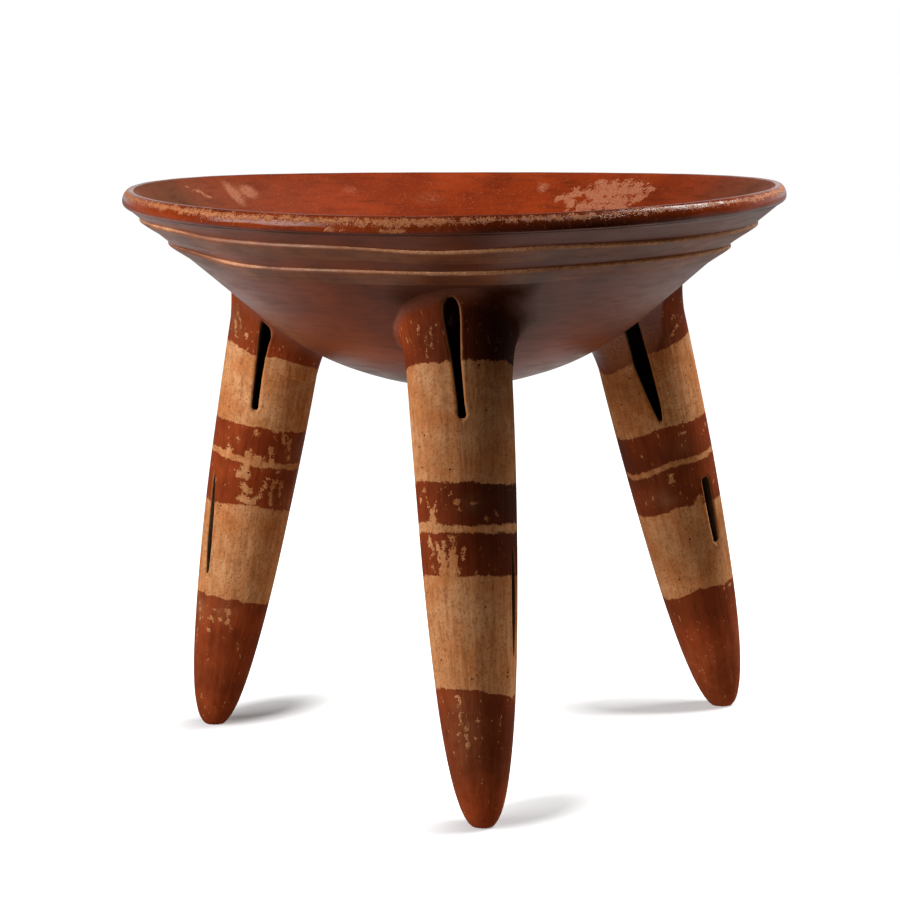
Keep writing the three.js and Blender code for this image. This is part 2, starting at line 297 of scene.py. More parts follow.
def place_in_mm(tree, mark=None, stretch=(1, 1, 1)):
    """The place on the clay in millimetres: of the object, or of a mark that holds a leg's
    own directions. A stretch below one makes a pattern longer that way."""
    if mark:
        place = add_node(tree, "Attribute", attribute_name=mark).outputs["Vector"]
        return add_node(tree, "VectorMath", {0: place, 1: stretch}, operation="MULTIPLY")
    place = add_node(tree, "TexCoord").outputs["Object"]
    scale = tuple(1000 * share for share in stretch)
    return add_node(tree, "VectorMath", {0: place, 1: scale}, operation="MULTIPLY")


def ragged(tree, distance, place, coarse, fine, soft):
    """1 inside an edge and 0 outside: the distance inside the edge, pushed in and out by two
    noises, each given by its grain and reach in millimetres, then cut off softly at nothing."""
    for grain, reach in (coarse, fine):
        noise = add_node(tree, "TexNoise", {"Vector": place, "Scale": 1 / grain, "Detail": 3.0})
        push = add_node(tree, "MapRange", {0: noise, 1: 0.25, 2: 0.75, 3: -reach, 4: reach}, clamp=False)
        distance = add_node(tree, "Math", {0: distance, 1: push}, operation="ADD")
    return add_node(tree, "MapRange", {0: distance, 1: -soft, 2: soft})


def fired(finish, tree, colour, roughness, relief_mm, specular):
    """Ends a finish: fired clay of one colour, roughness and relief in millimetres."""
    bump = add_node(tree, "Bump", {"Strength": 1.0, "Distance": 0.001, "Height": relief_mm})
    clay = add_node(tree, "BsdfPrincipled", {
        "Base Color": colour, "Roughness": roughness, "Specular IOR Level": specular,
        "IOR": 1.5, "Metallic": 0.0, "Normal": bump,
    })
    add_node(tree, "OutputMaterial", {"Surface": clay})
    return finish


print("finishes read the marks worn_and_lit_mm, soot, flush, dusting, paint, slit_mm and slipped")

# %% [markdown]
# ## Polished red slip
# Slip is fine clay thinned with water and brushed on. Rubbing it with a pebble before the
# fire closes its skin, which then reflects softly in long faint strokes. Iron makes it red,
# smoke makes it brown to black, and rubbing or flaking shows the buff clay beneath. The same
# dark clouds also lay painted shade, and inside the bowl a painted grey-brown sheen, and the
# rubbed crests of the ridges also carry a painted highlight. One function makes every slipped
# finish, because they differ only in colours, in their polish and in how much dust they carry.


# %% Polished slip
def slip_layers(tree, fresh, deep, buff, roughness, dusty, edge, specular=0.5, darkening_colour="#200d05"):
    """Slip of two red tones in clouds, orange where it flushed in the fire, dark and matt
    where smoked and where shade is painted, greyed as a painted sheen inside the bowl,
    flecked with buff dust, and gone where rubs or flakes show the clay, which on the ridges
    is also a painted highlight. Gives its colour, roughness, relief in millimetres and shine."""
    place = place_in_mm(tree)
    strokes = place_in_mm(tree, stretch=(0.12, 0.12, 1))
    cloud = add_node(tree, "TexNoise", {"Vector": place, "Scale": 1 / 20, "Detail": 5.0})
    mottle = add_node(tree, "TexNoise", {"Vector": place, "Scale": 1 / 4, "Detail": 3.0})
    grain = add_node(tree, "TexNoise", {"Vector": place, "Scale": 1 / 0.7, "Detail": 3.0})
    stroke = add_node(tree, "TexNoise", {"Vector": strokes, "Scale": 1 / 1.4, "Detail": 4.0})
    tone = add_node(tree, "MapRange", {0: cloud, 1: 0.38, 2: 0.62})
    colour = add_node(tree, "Mix", {0: tone, 6: deep, 7: fresh}, data_type="RGBA")
    blotch = add_node(tree, "MapRange", {0: mottle, 1: 0.45, 2: 0.7, 3: 0.0, 4: 0.45})
    colour = add_node(tree, "Mix", {0: blotch, 6: colour, 7: deep}, data_type="RGBA")
    flush = add_node(tree, "Attribute", attribute_name="flush").outputs["Fac"]
    colour = add_node(tree, "Mix", {0: flush, 6: colour, 7: "#b4561c"}, data_type="RGBA")
    # This mark darkens the slip: partly smoke, partly painted shade in creases and on sides away from the
    # lamps, and inside the bowl a painted grey-brown sheen.
    soot_shade_and_sheen = add_node(tree, "Attribute", attribute_name="soot_shade_and_sheen").outputs["Fac"]
    uneven = add_node(tree, "MapRange", {0: cloud, 1: 0.6, 2: 0.35, 3: 0.8, 4: 1.0})
    sooty = add_node(tree, "Math", {0: soot_shade_and_sheen, 1: uneven}, operation="MULTIPLY")
    colour = add_node(tree, "Mix", {0: sooty, 6: colour, 7: darkening_colour}, data_type="RGBA")
    streak = add_node(tree, "MapRange", {0: stroke, 1: 0.5, 2: 0.7, 3: 0.0, 4: 0.3})
    colour = add_node(tree, "Mix", {0: streak, 6: colour, 7: "#3a1408"}, data_type="RGBA")
    speck = add_node(tree, "TexNoise", {"Vector": place, "Scale": 1 / 1.0, "Detail": 2.0, "Roughness": 0.7})
    specks = add_node(tree, "MapRange", {0: speck, 1: 0.56, 2: 0.70, 3: 0.0, 4: dusty})
    spread = add_node(tree, "MapRange", {0: mottle, 1: 0.4, 2: 0.65, 3: 0.3, 4: 1.0})
    dust = add_node(tree, "Math", {0: specks, 1: spread}, operation="MULTIPLY")
    colour = add_node(tree, "Mix", {0: dust, 6: colour, 7: buff}, data_type="RGBA")
    dusting = add_node(tree, "Attribute", attribute_name="dusting").outputs["Fac"]
    patchy = add_node(tree, "MapRange", {0: grain, 1: 0.35, 2: 0.55, 3: 0.35, 4: 1.0})
    film = add_node(tree, "Math", {0: dusting, 1: patchy}, operation="MULTIPLY")
    film = add_node(tree, "MapRange", {0: film, 1: 0.15, 2: 0.45, 3: 0.0, 4: 0.7})
    colour = add_node(tree, "Mix", {0: film, 6: colour, 7: buff}, data_type="RGBA")
    # On the ridges this rubbed mark and the buff under it also paint a highlight along the crest.
    worn_and_lit_mm = add_node(tree, "Attribute", attribute_name="worn_and_lit_mm").outputs["Fac"]
    worn_and_lit = ragged(tree, worn_and_lit_mm, place, *edge)
    body_tone = add_node(tree, "MapRange", {0: grain, 1: 0.4, 2: 0.6, 3: 0.0, 4: 0.5})
    body = add_node(tree, "Mix", {0: body_tone, 6: buff, 7: fresh}, data_type="RGBA")
    colour = add_node(tree, "Mix", {0: worn_and_lit, 6: colour, 7: body}, data_type="RGBA")
    rough = add_node(tree, "MapRange", {0: stroke, 1: 0.3, 2: 0.7, 3: roughness - 0.05, 4: roughness + 0.06})
    rough = add_node(tree, "Mix", {0: worn_and_lit, 2: rough, 3: 0.62})
    matt = add_node(tree, "MapRange", {0: sooty, 1: 0.4, 2: 0.85})
    rough = add_node(tree, "Mix", {0: matt, 2: rough, 3: 0.75})
    relief = add_node(tree, "MapRange", {0: grain, 1: 0.3, 2: 0.7, 3: 0.0, 4: 0.02})
    relief = add_node(tree, "Math", {0: stroke, 1: 0.05, 2: relief}, operation="MULTIPLY_ADD")
    relief = add_node(tree, "Math", {0: worn_and_lit, 1: -0.09, 2: relief}, operation="MULTIPLY_ADD")
    shine = add_node(tree, "MapRange", {0: matt, 3: specular, 4: 0.0})
    return colour, rough, relief, shine


def polished_slip(name, *look):
    """A finish of slip alone."""
    finish, tree = new_finish(name)
    return fired(finish, tree, *slip_layers(tree, *look))


# Each slip is given by its fresh colour, its deep colour, the buff of the clay under it, its
# roughness and its share of dust. Each kind of ragged edge is given by a coarse noise and a
# fine one, as grain and reach in millimetres, and by how soft the edge is.
OUTER_SLIP = ("#803d23", "#6c311a", "#a5683f", 0.36, 0.12)
INNER_SLIP = ("#943814", "#7e2c0e", "#b8795c", 0.55, 0.28)
LIP_SLIP = ("#88340f", "#72290c", "#b2744a", 0.12, 0.30)
# The ridge slip's pale buff is brighter than bared clay: along the crests it is a painted highlight as well
# as the rubbed clay.
RIDGE_SLIP_AND_HIGHLIGHT = ("#8e5434", "#6c3c24", "#eeb488", 0.45, 0.05)
RAGGED_FLAKE = ((2.4, 1.3), (0.8, 1.1), 0.15)
RAGGED_PATCH = ((3.2, 2.2), (0.8, 1.1), 0.15)
RUBBED_LIP = ((2.6, 1.1), (0.5, 1.3), 0.3)
RUBBED_AND_LIT_CREST = ((6.0, 0.3), (1.6, 0.15), 0.7)
outer_slip = polished_slip("smoked_and_shaded_burnished_slip", *OUTER_SLIP, RAGGED_FLAKE)
# The inner slip's last colour is the grey-brown of its painted sheen and painted shade.
inner_slip = polished_slip("red_burnished_slip", *INNER_SLIP, RAGGED_PATCH, 0.08, "#5f4736")
lip_slip = polished_slip("rubbed_lip_slip", *LIP_SLIP, RUBBED_LIP, 0.22)
ridge_slip = polished_slip("ridge_slip", *RIDGE_SLIP_AND_HIGHLIGHT, RUBBED_AND_LIT_CREST)
print("slips:", outer_slip.name, inner_slip.name, lip_slip.name, ridge_slip.name)

# %% [markdown]
# ## Painted legs and raw clay
# The legs carry a matt cream paint that was scraped and brushed lengthwise, and red bands
# over it. The red lies on top of the cream, so where it has flaked the cream shows. Inside,
# the clay was never slipped, and soot and soil have made it dark.


# %% Painted legs
# The levels of each red band's two edges. The first band runs past the tip, and the last one
# past the root.
RED_BANDS = ((-50, 50), (88, 102), (104, 119), (150, 300))


def inside_band(tree, level, low, high):
    """The distance inside a band of levels: half its height less the distance to its middle."""
    off = add_node(tree, "Math", {0: level, 1: (low + high) / 2}, operation="SUBTRACT")
    size = add_node(tree, "Math", {0: off}, operation="ABSOLUTE")
    return add_node(tree, "Math", {0: (high - low) / 2, 1: size}, operation="SUBTRACT")


def painted_leg(name):
    """Cream paint with streaks and specks, and red bands with ragged edges, flakes, smoked clouds and
    painted shade.
    """
    finish, tree = new_finish(name)
    place = place_in_mm(tree, "leg_mm")
    long_place = place_in_mm(tree, "leg_mm", (1, 1, 0.14))
    cloud = add_node(tree, "TexNoise", {"Vector": place, "Scale": 1 / 13, "Detail": 4.0})
    mottle = add_node(tree, "TexNoise", {"Vector": place, "Scale": 1 / 3.2, "Detail": 3.0})
    streak = add_node(tree, "TexNoise", {"Vector": long_place, "Scale": 1 / 1.7, "Detail": 4.0})
    grain = add_node(tree, "TexNoise", {"Vector": place, "Scale": 1 / 0.9, "Detail": 3.0, "Roughness": 0.65})
    tone = add_node(tree, "MapRange", {0: cloud, 1: 0.38, 2: 0.62})
    cream = add_node(tree, "Mix", {0: tone, 6: "#c07e4e", 7: "#d29e72"}, data_type="RGBA")
    blotch = add_node(tree, "MapRange", {0: mottle, 1: 0.42, 2: 0.68, 3: 0.0, 4: 0.5})
    cream = add_node(tree, "Mix", {0: blotch, 6: cream, 7: "#a86c44"}, data_type="RGBA")
    lines = add_node(tree, "MapRange", {0: streak, 1: 0.5, 2: 0.72, 3: 0.0, 4: 0.55})
    cream = add_node(tree, "Mix", {0: lines, 6: cream, 7: "#965a30"}, data_type="RGBA")
    pale = add_node(tree, "MapRange", {0: streak, 1: 0.45, 2: 0.3, 3: 0.0, 4: 0.35})
    cream = add_node(tree, "Mix", {0: pale, 6: cream, 7: "#d6a47c"}, data_type="RGBA")
    sand = add_node(tree, "MapRange", {0: grain, 1: 0.52, 2: 0.66, 3: 0.0, 4: 0.6})
    cream = add_node(tree, "Mix", {0: sand, 6: cream, 7: "#7c4420"}, data_type="RGBA")
    pit = add_node(tree, "TexVoronoi", {"Vector": place, "Scale": 1 / 5.0, "Randomness": 1.0})
    pits = add_node(tree, "MapRange", {0: pit, 1: 0.085, 2: 0.055})
    cream = add_node(tree, "Mix", {0: pits, 6: cream, 7: "#3c1c0e"}, data_type="RGBA")
    red = add_node(tree, "Mix", {0: tone, 6: "#783217", 7: "#8f3f1e"}, data_type="RGBA")
    dark_lines = add_node(tree, "MapRange", {0: streak, 1: 0.48, 2: 0.72, 3: 0.0, 4: 0.4})
    red = add_node(tree, "Mix", {0: dark_lines, 6: red, 7: "#4c180a"}, data_type="RGBA")
    flush = add_node(tree, "Attribute", attribute_name="flush").outputs["Fac"]
    red = add_node(tree, "Mix", {0: flush, 6: red, 7: "#a8401a"}, data_type="RGBA")
    dusting = add_node(tree, "Attribute", attribute_name="dusting").outputs["Fac"]
    patchy = add_node(tree, "MapRange", {0: mottle, 1: 0.35, 2: 0.6, 3: 0.5, 4: 1.0})
    film = add_node(tree, "Math", {0: dusting, 1: patchy}, operation="MULTIPLY")
    red = add_node(tree, "Mix", {0: film, 6: red, 7: "#a87858"}, data_type="RGBA")
    soot_shade_and_sheen = add_node(tree, "Attribute", attribute_name="soot_shade_and_sheen").outputs["Fac"]
    # These clouds darken the red and dull the cream: smoke, and painted shade on sides away from the lamps.
    red = add_node(tree, "Mix", {0: soot_shade_and_sheen, 6: red, 7: "#200a03"}, data_type="RGBA")
    dulled = add_node(tree, "Math", {0: soot_shade_and_sheen, 1: 0.6}, operation="MULTIPLY")
    cream = add_node(tree, "Mix", {0: dulled, 6: cream, 7: "#3e2412"}, data_type="RGBA")
    level = add_node(tree, "Attribute", attribute_name="paint").outputs["Fac"]
    distance = inside_band(tree, level, *RED_BANDS[0])
    for low, high in RED_BANDS[1:]:
        band = inside_band(tree, level, low, high)
        distance = add_node(tree, "Math", {0: distance, 1: band}, operation="MAXIMUM")
    painted = ragged(tree, distance, place, (3.0, 0.55), (0.6, 0.45), 0.2)
    worn_and_lit_mm = add_node(tree, "Attribute", attribute_name="worn_and_lit_mm").outputs["Fac"]
    worn_and_lit = ragged(tree, worn_and_lit_mm, place, (2.2, 1.2), (0.6, 0.8), 0.15)
    fleck_place = place_in_mm(tree, "leg_mm", (1, 1, 0.5))
    fleck = add_node(tree, "TexNoise", {"Vector": fleck_place, "Scale": 1 / 1.2, "Detail": 2.5})
    crowd = add_node(tree, "MapRange", {0: cloud, 1: 0.42, 2: 0.62, 3: 0.72, 4: 0.655})
    over = add_node(tree, "Math", {0: fleck, 1: crowd}, operation="SUBTRACT")
    flecks = add_node(tree, "MapRange", {0: over, 1: 0.0, 2: 0.02, 3: 0.0, 4: 0.8})
    bare = add_node(tree, "Math", {0: worn_and_lit, 1: flecks}, operation="MAXIMUM")
    # Fewer flakes show where the clouds of smoke and painted shade lie.
    undarkened = add_node(tree, "MapRange", {0: soot_shade_and_sheen, 1: 0.5, 2: 1.0, 3: 1.0, 4: 0.2})
    bare = add_node(tree, "Math", {0: bare, 1: undarkened}, operation="MULTIPLY")
    painted = add_node(tree, "Mix", {0: bare, 2: painted, 3: 0.0})
    colour = add_node(tree, "Mix", {0: painted, 6: cream, 7: red}, data_type="RGBA")
    slit_mm = add_node(tree, "Attribute", attribute_name="slit_mm").outputs["Fac"]
    burr = add_node(tree, "MapRange", {0: slit_mm, 1: 0.7, 2: 0.25, 3: 0.0, 4: 0.45})
    colour = add_node(tree, "Mix", {0: burr, 6: colour, 7: "#b47a4c"}, data_type="RGBA")
    rough = add_node(tree, "Mix", {0: painted, 2: 0.7, 3: 0.6})
    relief = add_node(tree, "MapRange", {0: streak, 1: 0.3, 2: 0.7, 3: 0.0, 4: 0.12})
    relief = add_node(tree, "Math", {0: grain, 1: 0.07, 2: relief}, operation="MULTIPLY_ADD")
    relief = add_node(tree, "Math", {0: painted, 1: 0.06, 2: relief}, operation="MULTIPLY_ADD")
    relief = add_node(tree, "Math", {0: pits, 1: -0.25, 2: relief}, operation="MULTIPLY_ADD")
    slipped = add_node(tree, "Attribute", attribute_name="slipped").outputs["Fac"]
    bowl_colour, bowl_rough, bowl_relief, bowl_shine = slip_layers(tree, *OUTER_SLIP, RAGGED_FLAKE, 0.35)
    colour = add_node(tree, "Mix", {0: slipped, 6: colour, 7: bowl_colour}, data_type="RGBA")
    rough = add_node(tree, "Mix", {0: slipped, 2: rough, 3: bowl_rough})
    relief = add_node(tree, "Mix", {0: slipped, 2: relief, 3: bowl_relief})
    shine = add_node(tree, "Mix", {0: slipped, 2: 0.03, 3: bowl_shine})
    return fired(finish, tree, colour, rough, relief, shine)


leg_paint = painted_leg("banded_leg_paint")
print("painted finish:", leg_paint.name)


# %% Raw clay
def rough_clay(name, light, dark, roughness):
    """Unslipped clay: two tones in clouds, sandy grain, and no polish."""
    finish, tree = new_finish(name)
    place = place_in_mm(tree)
    cloud = add_node(tree, "TexNoise", {"Vector": place, "Scale": 1 / 6, "Detail": 4.0})
    grain = add_node(tree, "TexNoise", {"Vector": place, "Scale": 1 / 0.6, "Detail": 3.0})
    tone = add_node(tree, "MapRange", {0: cloud, 1: 0.35, 2: 0.65})
    colour = add_node(tree, "Mix", {0: tone, 6: dark, 7: light}, data_type="RGBA")
    relief = add_node(tree, "MapRange", {0: grain, 1: 0.3, 2: 0.7, 3: 0.0, 4: 0.15})
    return fired(finish, tree, colour, roughness, relief, 0.3)


raw_clay = rough_clay("sooty_raw_clay", "#5a4632", "#33281c", 0.9)
pellet_clay = rough_clay("fired_pellet_clay", "#8f5c3a", "#6e4226", 0.8)
print("raw finishes:", raw_clay.name, pellet_clay.name)

# %% [markdown]
# ## Where the pot is worn, smoked and given painted shade
# A rub is (turn, along, turn, along, half width), and a cloud is (turn, along, reach round,
# reach along, strength). On the bowl, turns go round its axis with the front at 270. Along is
# the way down the wall from the lip's seat outside, and the radius inside. On the lip it is
# the way outwards from its crest. Lengths are in millimetres.

# %% Wear, smoke, painted shade and sheen, dust and dents on the bowl
OUTSIDE_RUBS = [(240, 66, 240.4, 66.3, 0.2)]
INSIDE_RUBS = [
    (64, 106, 61, 106, 1.5), (58, 107, 49, 107, 5.0), (52, 106, 46, 108, 4.0), (62, 101, 48, 101, 2.0),
    (71.5, 110, 70.8, 109, 0.6), (154, 112, 150, 107, 0.25), (66, 104, 62, 103, 0.6),
]
# Partly smoke and partly painted shade. The ring at along -0.2 is painted shade in the crease under the lip,
# and the narrow cloud at turn 268.7 is painted shade in the dent above the front slit. The wide cloud at
# turn 272 and the clouds round the front collar are smoke and painted shade together. The small specks are
# smoke.
OUTSIDE_SOOT_AND_SHADE = [
    (272, 16, 50, 36, 0.3), (279.5, 35, 13, 9, 0.85), (281, 52, 14, 15, 0.96), (260.5, 37, 12, 11, 0.85),
    (268.7, 43, 2.6, 8, 0.9), (270, -0.2, 400, 0.9, 0.8), (325.5, 5.5, 1.0, 0.35, 0.85),
    (333.5, 5.5, 1.0, 0.35, 0.85), (329.5, 16, 0.9, 0.4, 0.85), (251, 31, 1.2, 0.4, 0.8),
]
# Painted sheen and painted shade: grey-brown clouds at the far left and far right inside the bowl, where the
# polished slip would show the room at a grazing angle, and a darker left wall.
INSIDE_SHEEN_AND_SHADE = [(168, 110, 50, 26, 0.8), (10, 108, 36, 24, 0.65)]
INSIDE_DUST = [
    (141.5, 108, 3.0, 5.5, 0.75), (137, 108.5, 4.5, 3.2, 0.7), (112, 108, 5, 2.5, 0.3),
    (70.5, 109, 3, 2.5, 0.5), (95, 104, 12, 5, 0.25),
]
OUTSIDE_FLUSH = [
    (240, 77, 18, 12, 0.6), (300, 60, 20, 14, 0.3), (308, 80, 22, 14, 0.5), (325, 35, 26, 26, 0.2),
]
SHELL_DENTS = [([(268.6, 37, 268.8, 52, 3.3)], 2.6)]  # strokes that were pressed in, and how deep
print("named places of wear on the bowl:", len(OUTSIDE_RUBS) + len(INSIDE_RUBS))

# %% [markdown]
# The lip is rubbed along a stripe that runs nearly all the way round. Its half width, and how
# far outwards of the crest its middle lies, are given at turns counted from the front.

# %% Wear, smoke and painted shade on the lip
LIP_WEAR = (
    (-180, 0.9), (-90, 0.7), (-70, 0.8), (-55, 0.8), (-41, 1.0), (-30, 0.6), (-20, 0.9), (-9, 1.1),
    (3, 0.6), (12, 0.4), (26, 0.5), (38, 0), (53, 0.3), (62, 0.8), (78, 0.7), (95, 0.9), (180, 0.9),
)
LIP_WEAR_CENTRE = (
    (-180, 1.2), (-90, 1.4), (-70, 2.0), (-55, 2.5), (-41, 3.1), (-30, 2.4), (-20, 2.8), (-9, 3.2),
    (3, 2.7), (12, 2.6), (30, 2.6), (60, 2.6), (90, 1.6), (180, 1.2),
)
LIP_RUBS = [(258, 6.2, 262, 6.0, 0.6), (249, 5.8, 252, 5.8, 0.4), (300, 1.6, 304, 1.6, 0.4)]
# Partly smoke and partly painted shade: the thin ring at 7.8 mm out of the crest is painted shade in the
# crease under the lip.
LIP_SOOT_AND_SHADE = [
    (290, 6.6, 46, 3.0, 0.97), (288, 1, 60, 3, 0.4), (265, 0, 80, 0.9, 0.6), (270, 7.8, 400, 0.9, 0.85),
]
print("turns at which the lip's stripe is given:", len(LIP_WEAR))

# %% [markdown]
# On a leg, turn 0 faces away from the bowl, and along is the way up from the tip. A rub with
# no width, or a little less, still shows where the noise pushes its edge out.

# %% Wear, smoke, painted shade and dust on the legs
LEG_RUBS = {
    "front": [
        (-67, 116, -65, 111, 0.1), (-64, 110, -61, 108, 0.3), (-56, 106, -59, 102, 1.4),
        (-46, 112, -49, 109, 0.1), (-43, 109, -42, 107, 0.3), (-44, 114, -44, 112, 0.1),
        (-35, 114, -34, 114, 0.1), (-31, 112, -30, 112, 0.1), (-26, 109, -22, 106, 0.2),
        (-24, 109, -23, 108, 0.2), (21, 106, 24, 103, 0.1), (8, 103, 9, 102, 0.1),
        (-76, 112, -78, 106, 0.1), (-52, 108, -53, 107, 0.3), (-8, 108, 0, 108, -0.1),
        (-65, 97, -61, 93, 0.9), (-52, 96, -52, 94, 0.5), (-43, 96, -41, 93, 0.5),
        (-30, 97, -30, 93, 0.9), (-46, 91, -46, 84, 1.8), (-33, 92, -34, 84, 1.7),
        (-20, 93, -20, 90, 0.2), (0, 93, 0, 92, 0.2), (18, 87, 19, 86, 0.2), (38, 87, 38, 86, 0.2),
        (-6, 85, -6, 84, 0.2), (9, 84, 9, 83, 0.2), (-64, 88, -63, 87, 0.1), (-68, 159, -66, 167, 0),
        (-58, 160, -57, 170, -0.1), (-50, 158, -49, 164, 0), (-43, 161, -42, 168, -0.1),
        (-35, 163, -34, 169, -0.2), (20, 162, 21, 163, 0.1), (30, 159, 32, 160, 0.1),
        (34, 162, 33, 163, 0.1), (-40, 44, -41, 42, 0.4), (-43, 41, -37, 40, 0.1),
        (-41, 38, -41, 35, 0.1), (-31, 37, -29, 35, 0.4), (-31, 33, -33, 31, 0.5),
        (-31, 30, -33, 27, 0.1), (-13, 36, -11, 36, 0.2), (-18, 30, -16, 30, 0.1),
        (-47, 32, -47, 32, 0.2), (-63, 38, -62, 38, 0.2), (-64, 27, -63, 24, 0), (-13, 24, -14, 22, 0),
    ],
    "left": [
        (64, 113, 65, 113, 0.4), (84, 117, 86, 116, 0.4), (48, 109, 53, 107, 1.1),
        (38, 106, 45, 105, 0.4), (80, 108, 78, 102, 1.5), (89, 107, 97, 106, 1.1),
        (70, 100, 82, 100, 1.2), (107, 111, 110, 106, 1.0), (108, 116, 111, 114, 0.4),
        (120, 117, 123, 114, 0.5), (131, 115, 135, 108, 0.7), (107, 119, 109, 118, 0.6),
        (29, 92, 35, 90, 0.4), (34, 94, 34, 95, 0.3), (50, 94, 54, 94, 0.3), (60, 94, 62, 94, 0.5),
        (78, 96, 87, 94, 1.2), (77, 91, 97, 90, 1.2), (108, 99, 100, 92, 0.9), (118, 98, 119, 90, 0.8),
        (129, 99, 132, 94, 0.6), (121, 102, 123, 99, 0.6), (45, 116, 46, 116, 0.3),
        (28, 156, 36, 150, 0.4), (34, 160, 44, 154, 0.3), (52, 152, 56, 151, 0.4), (26, 47, 31, 41, 0.4),
        (83, 50, 86, 42, 0.5), (59, 46, 59, 46, 0.5), (70, 46, 73, 46, 0.2), (72, 43, 73, 43, 0.2),
        (59, 43, 60, 43, 0.2), (54, 38, 58, 38, 0.2), (85, 36, 87, 36, 0.3), (93, 41, 95, 40, 0.2),
        (56, 30, 59, 26, 0), (44, 12, 43, 10, 0.2),
    ],
    "right": [
        (-103, 120, -102, 120, 0.3), (-73, 116, -74, 115, 0.4), (-60, 118, -57, 118, 0.3),
        (-70, 108, -71, 107, 0.3), (-120, 110, -118, 109, 0.4), (-161, 115, -161, 114, 0.3),
        (-130, 105, -132, 102, 0.7), (-104, 90, -97, 92, 1.8), (-74, 160, -60, 163, 0.1),
        (-90, 158, -76, 161, 0.1), (-85, 164, -83, 166, 0), (-60, 168, -58, 170, 0.1),
        (-68, 52, -62, 52, 0.5), (-84, 54, -84, 52, 0.1),
    ],
}
# Partly smoke and partly painted shade: on the front leg the clouds at turns 20 to 66, and the one low at
# turn 22, are painted shade on its side away from the lamps, and the one at its root darkens its collar's
# right half as smoke and painted shade together. On the right leg the clouds over its collar and low cream
# are also partly painted shade.
LEG_SOOT_AND_SHADE = {
    "front": [
        (20, 135, 26, 50, 0.6), (58, 138, 24, 60, 0.75), (36, 174, 27, 22, 0.92), (45, 90, 24, 60, 0.5),
        (66, 128, 16, 36, 0.6), (22, 30, 15, 18, 0.5), (-48, 161, 14, 10, 0.32),
    ],
    "left": [(40, 168, 12, 10, 0.2), (75, 156, 30, 10, 0.3)],
    "right": [
        (150, 112, 10, 12, 0.35), (-90, 120, 200, 60, 0.2), (-60, 168, 22, 20, 0.6),
        (-80, 75, 40, 18, 0.5), (-150, 106, 22, 16, 0.4), (-140, 70, 40, 14, 0.35),
        (-125, 45, 45, 9, 0.35),
    ],
}
LEG_FLUSH = {
    "front": [(-50, 160, 12, 8, 0.1), (-20, 6, 70, 9, 0.3)],
    "left": [(30, 160, 12, 12, 0.1)],
    "right": [(-40, 165, 8, 10, 0.2), (-147, 36, 16, 8, 0.3)],
}
LEG_DUST = {
    "front": [(-4, 108, 4, 3, 0.4), (-33, 35, 6, 12, 0.3), (-30, 20, 90, 34, 0.1)],
    "left": [
        (160, 110, 10, 8, 0.35), (160, 92, 10, 6, 0.35), (30, 156, 5, 6, 0.4), (170, 155, 16, 10, 0.3),
        (60, 20, 90, 30, 0.05), (80, 47, 6, 5, 0.2), (28, 45, 5, 6, 0.3),
    ],
    "right": [
        (-150, 158, 16, 12, 0.6), (-145, 95.5, 5, 3.5, 0.5), (-140, 105, 22, 22, 0.1),
        (-110, 115, 6, 5, 0.2), (-120, 25, 90, 36, 0.12),
    ],
}
print("named flakes and scratches on the legs:", sum(len(rubs) for rubs in LEG_RUBS.values()))


# %% [markdown]
# ## The bowl
# The bowl is one wall of even thickness: a shallow arc below and a straight flaring wall
# above. A true revolve would look like a lathe's work, so the wall also swells and sinks by
# a few tenths of a millimetre, as a wall does that was paddled and scraped by hand. Just
# above each ridge the wall dips, where a finger was drawn along the ridge to seat it.

# %% The bowl's wall
WALL_COS = math.cos(WALL_LEAN)
RIDGE_TOPS = (6.7, 19.9)  # how far down the wall from the lip's seat each ridge begins
RIDGE_SHOULDER = 1.2
RIDGE_TAIL = 8.5
FINGER_DIP = 0.08
FINGER_REACH = (6.7, 3.5)  # how far above each ridge the finger's dip begins
DIP_COVERED = 3.0  # how far before the end of a ridge's tail the dip starts to close


def turned(outline, sides):
    """Turns an outline of (radius, height) about the bowl's axis: x is the radius times the
    cosine of the turn, y is the radius times its sine, and the height takes the rise."""
    turn = np.linspace(0, 360, sides, endpoint=False)[None, :]
    x, y = round_axis(outline[:, :1], turn)
    z = outline[:, 1:2] + hand_rise(x, y)
    return np.stack([x, y, z], axis=-1), np.broadcast_to(turn, x.shape)


RIDGE_STRAY = (  # how far down the wall each ridge strays from its true ring, at a few turns
    (
        (0, 4.4), (60, 1), (90, 0), (160, 0), (205, -0.9), (214, -0.9), (222, 0.9), (239, 0.7),
        (250, 0.4), (257, 1.3), (265, 2.7), (276, 2.0), (288, 1.2), (297, 2.0), (308, 3.2), (317, 3.7),
        (328, 4.0), (345, 4.4),
    ),
    (
        (0, 3.8), (60, 1), (90, 0), (160, 0), (205, -1.0), (215, 1.2), (222, 3.0), (235, 2.4), (246, 1.4),
        (255, 1.2), (261, 1.5), (268, 1.8), (277, 2.1), (290, 1.2), (300, 0.8), (313, 1.0), (324, 1.2),
        (335, 1.6), (350, 3.4),
    ),
)


def ridge_stray(number, turn):
    """How far down the wall a ridge lies below its true ring: its places, smoothed over
    nine degrees, and a small unevenness."""
    beside = np.linspace(-4.5, 4.5, 10)
    spread = [np.interp(turn + k, *zip(*RIDGE_STRAY[number]), period=360) for k in beside]
    return np.mean(spread, axis=0) + hand_swell(turn, 300 * number, 0.2)


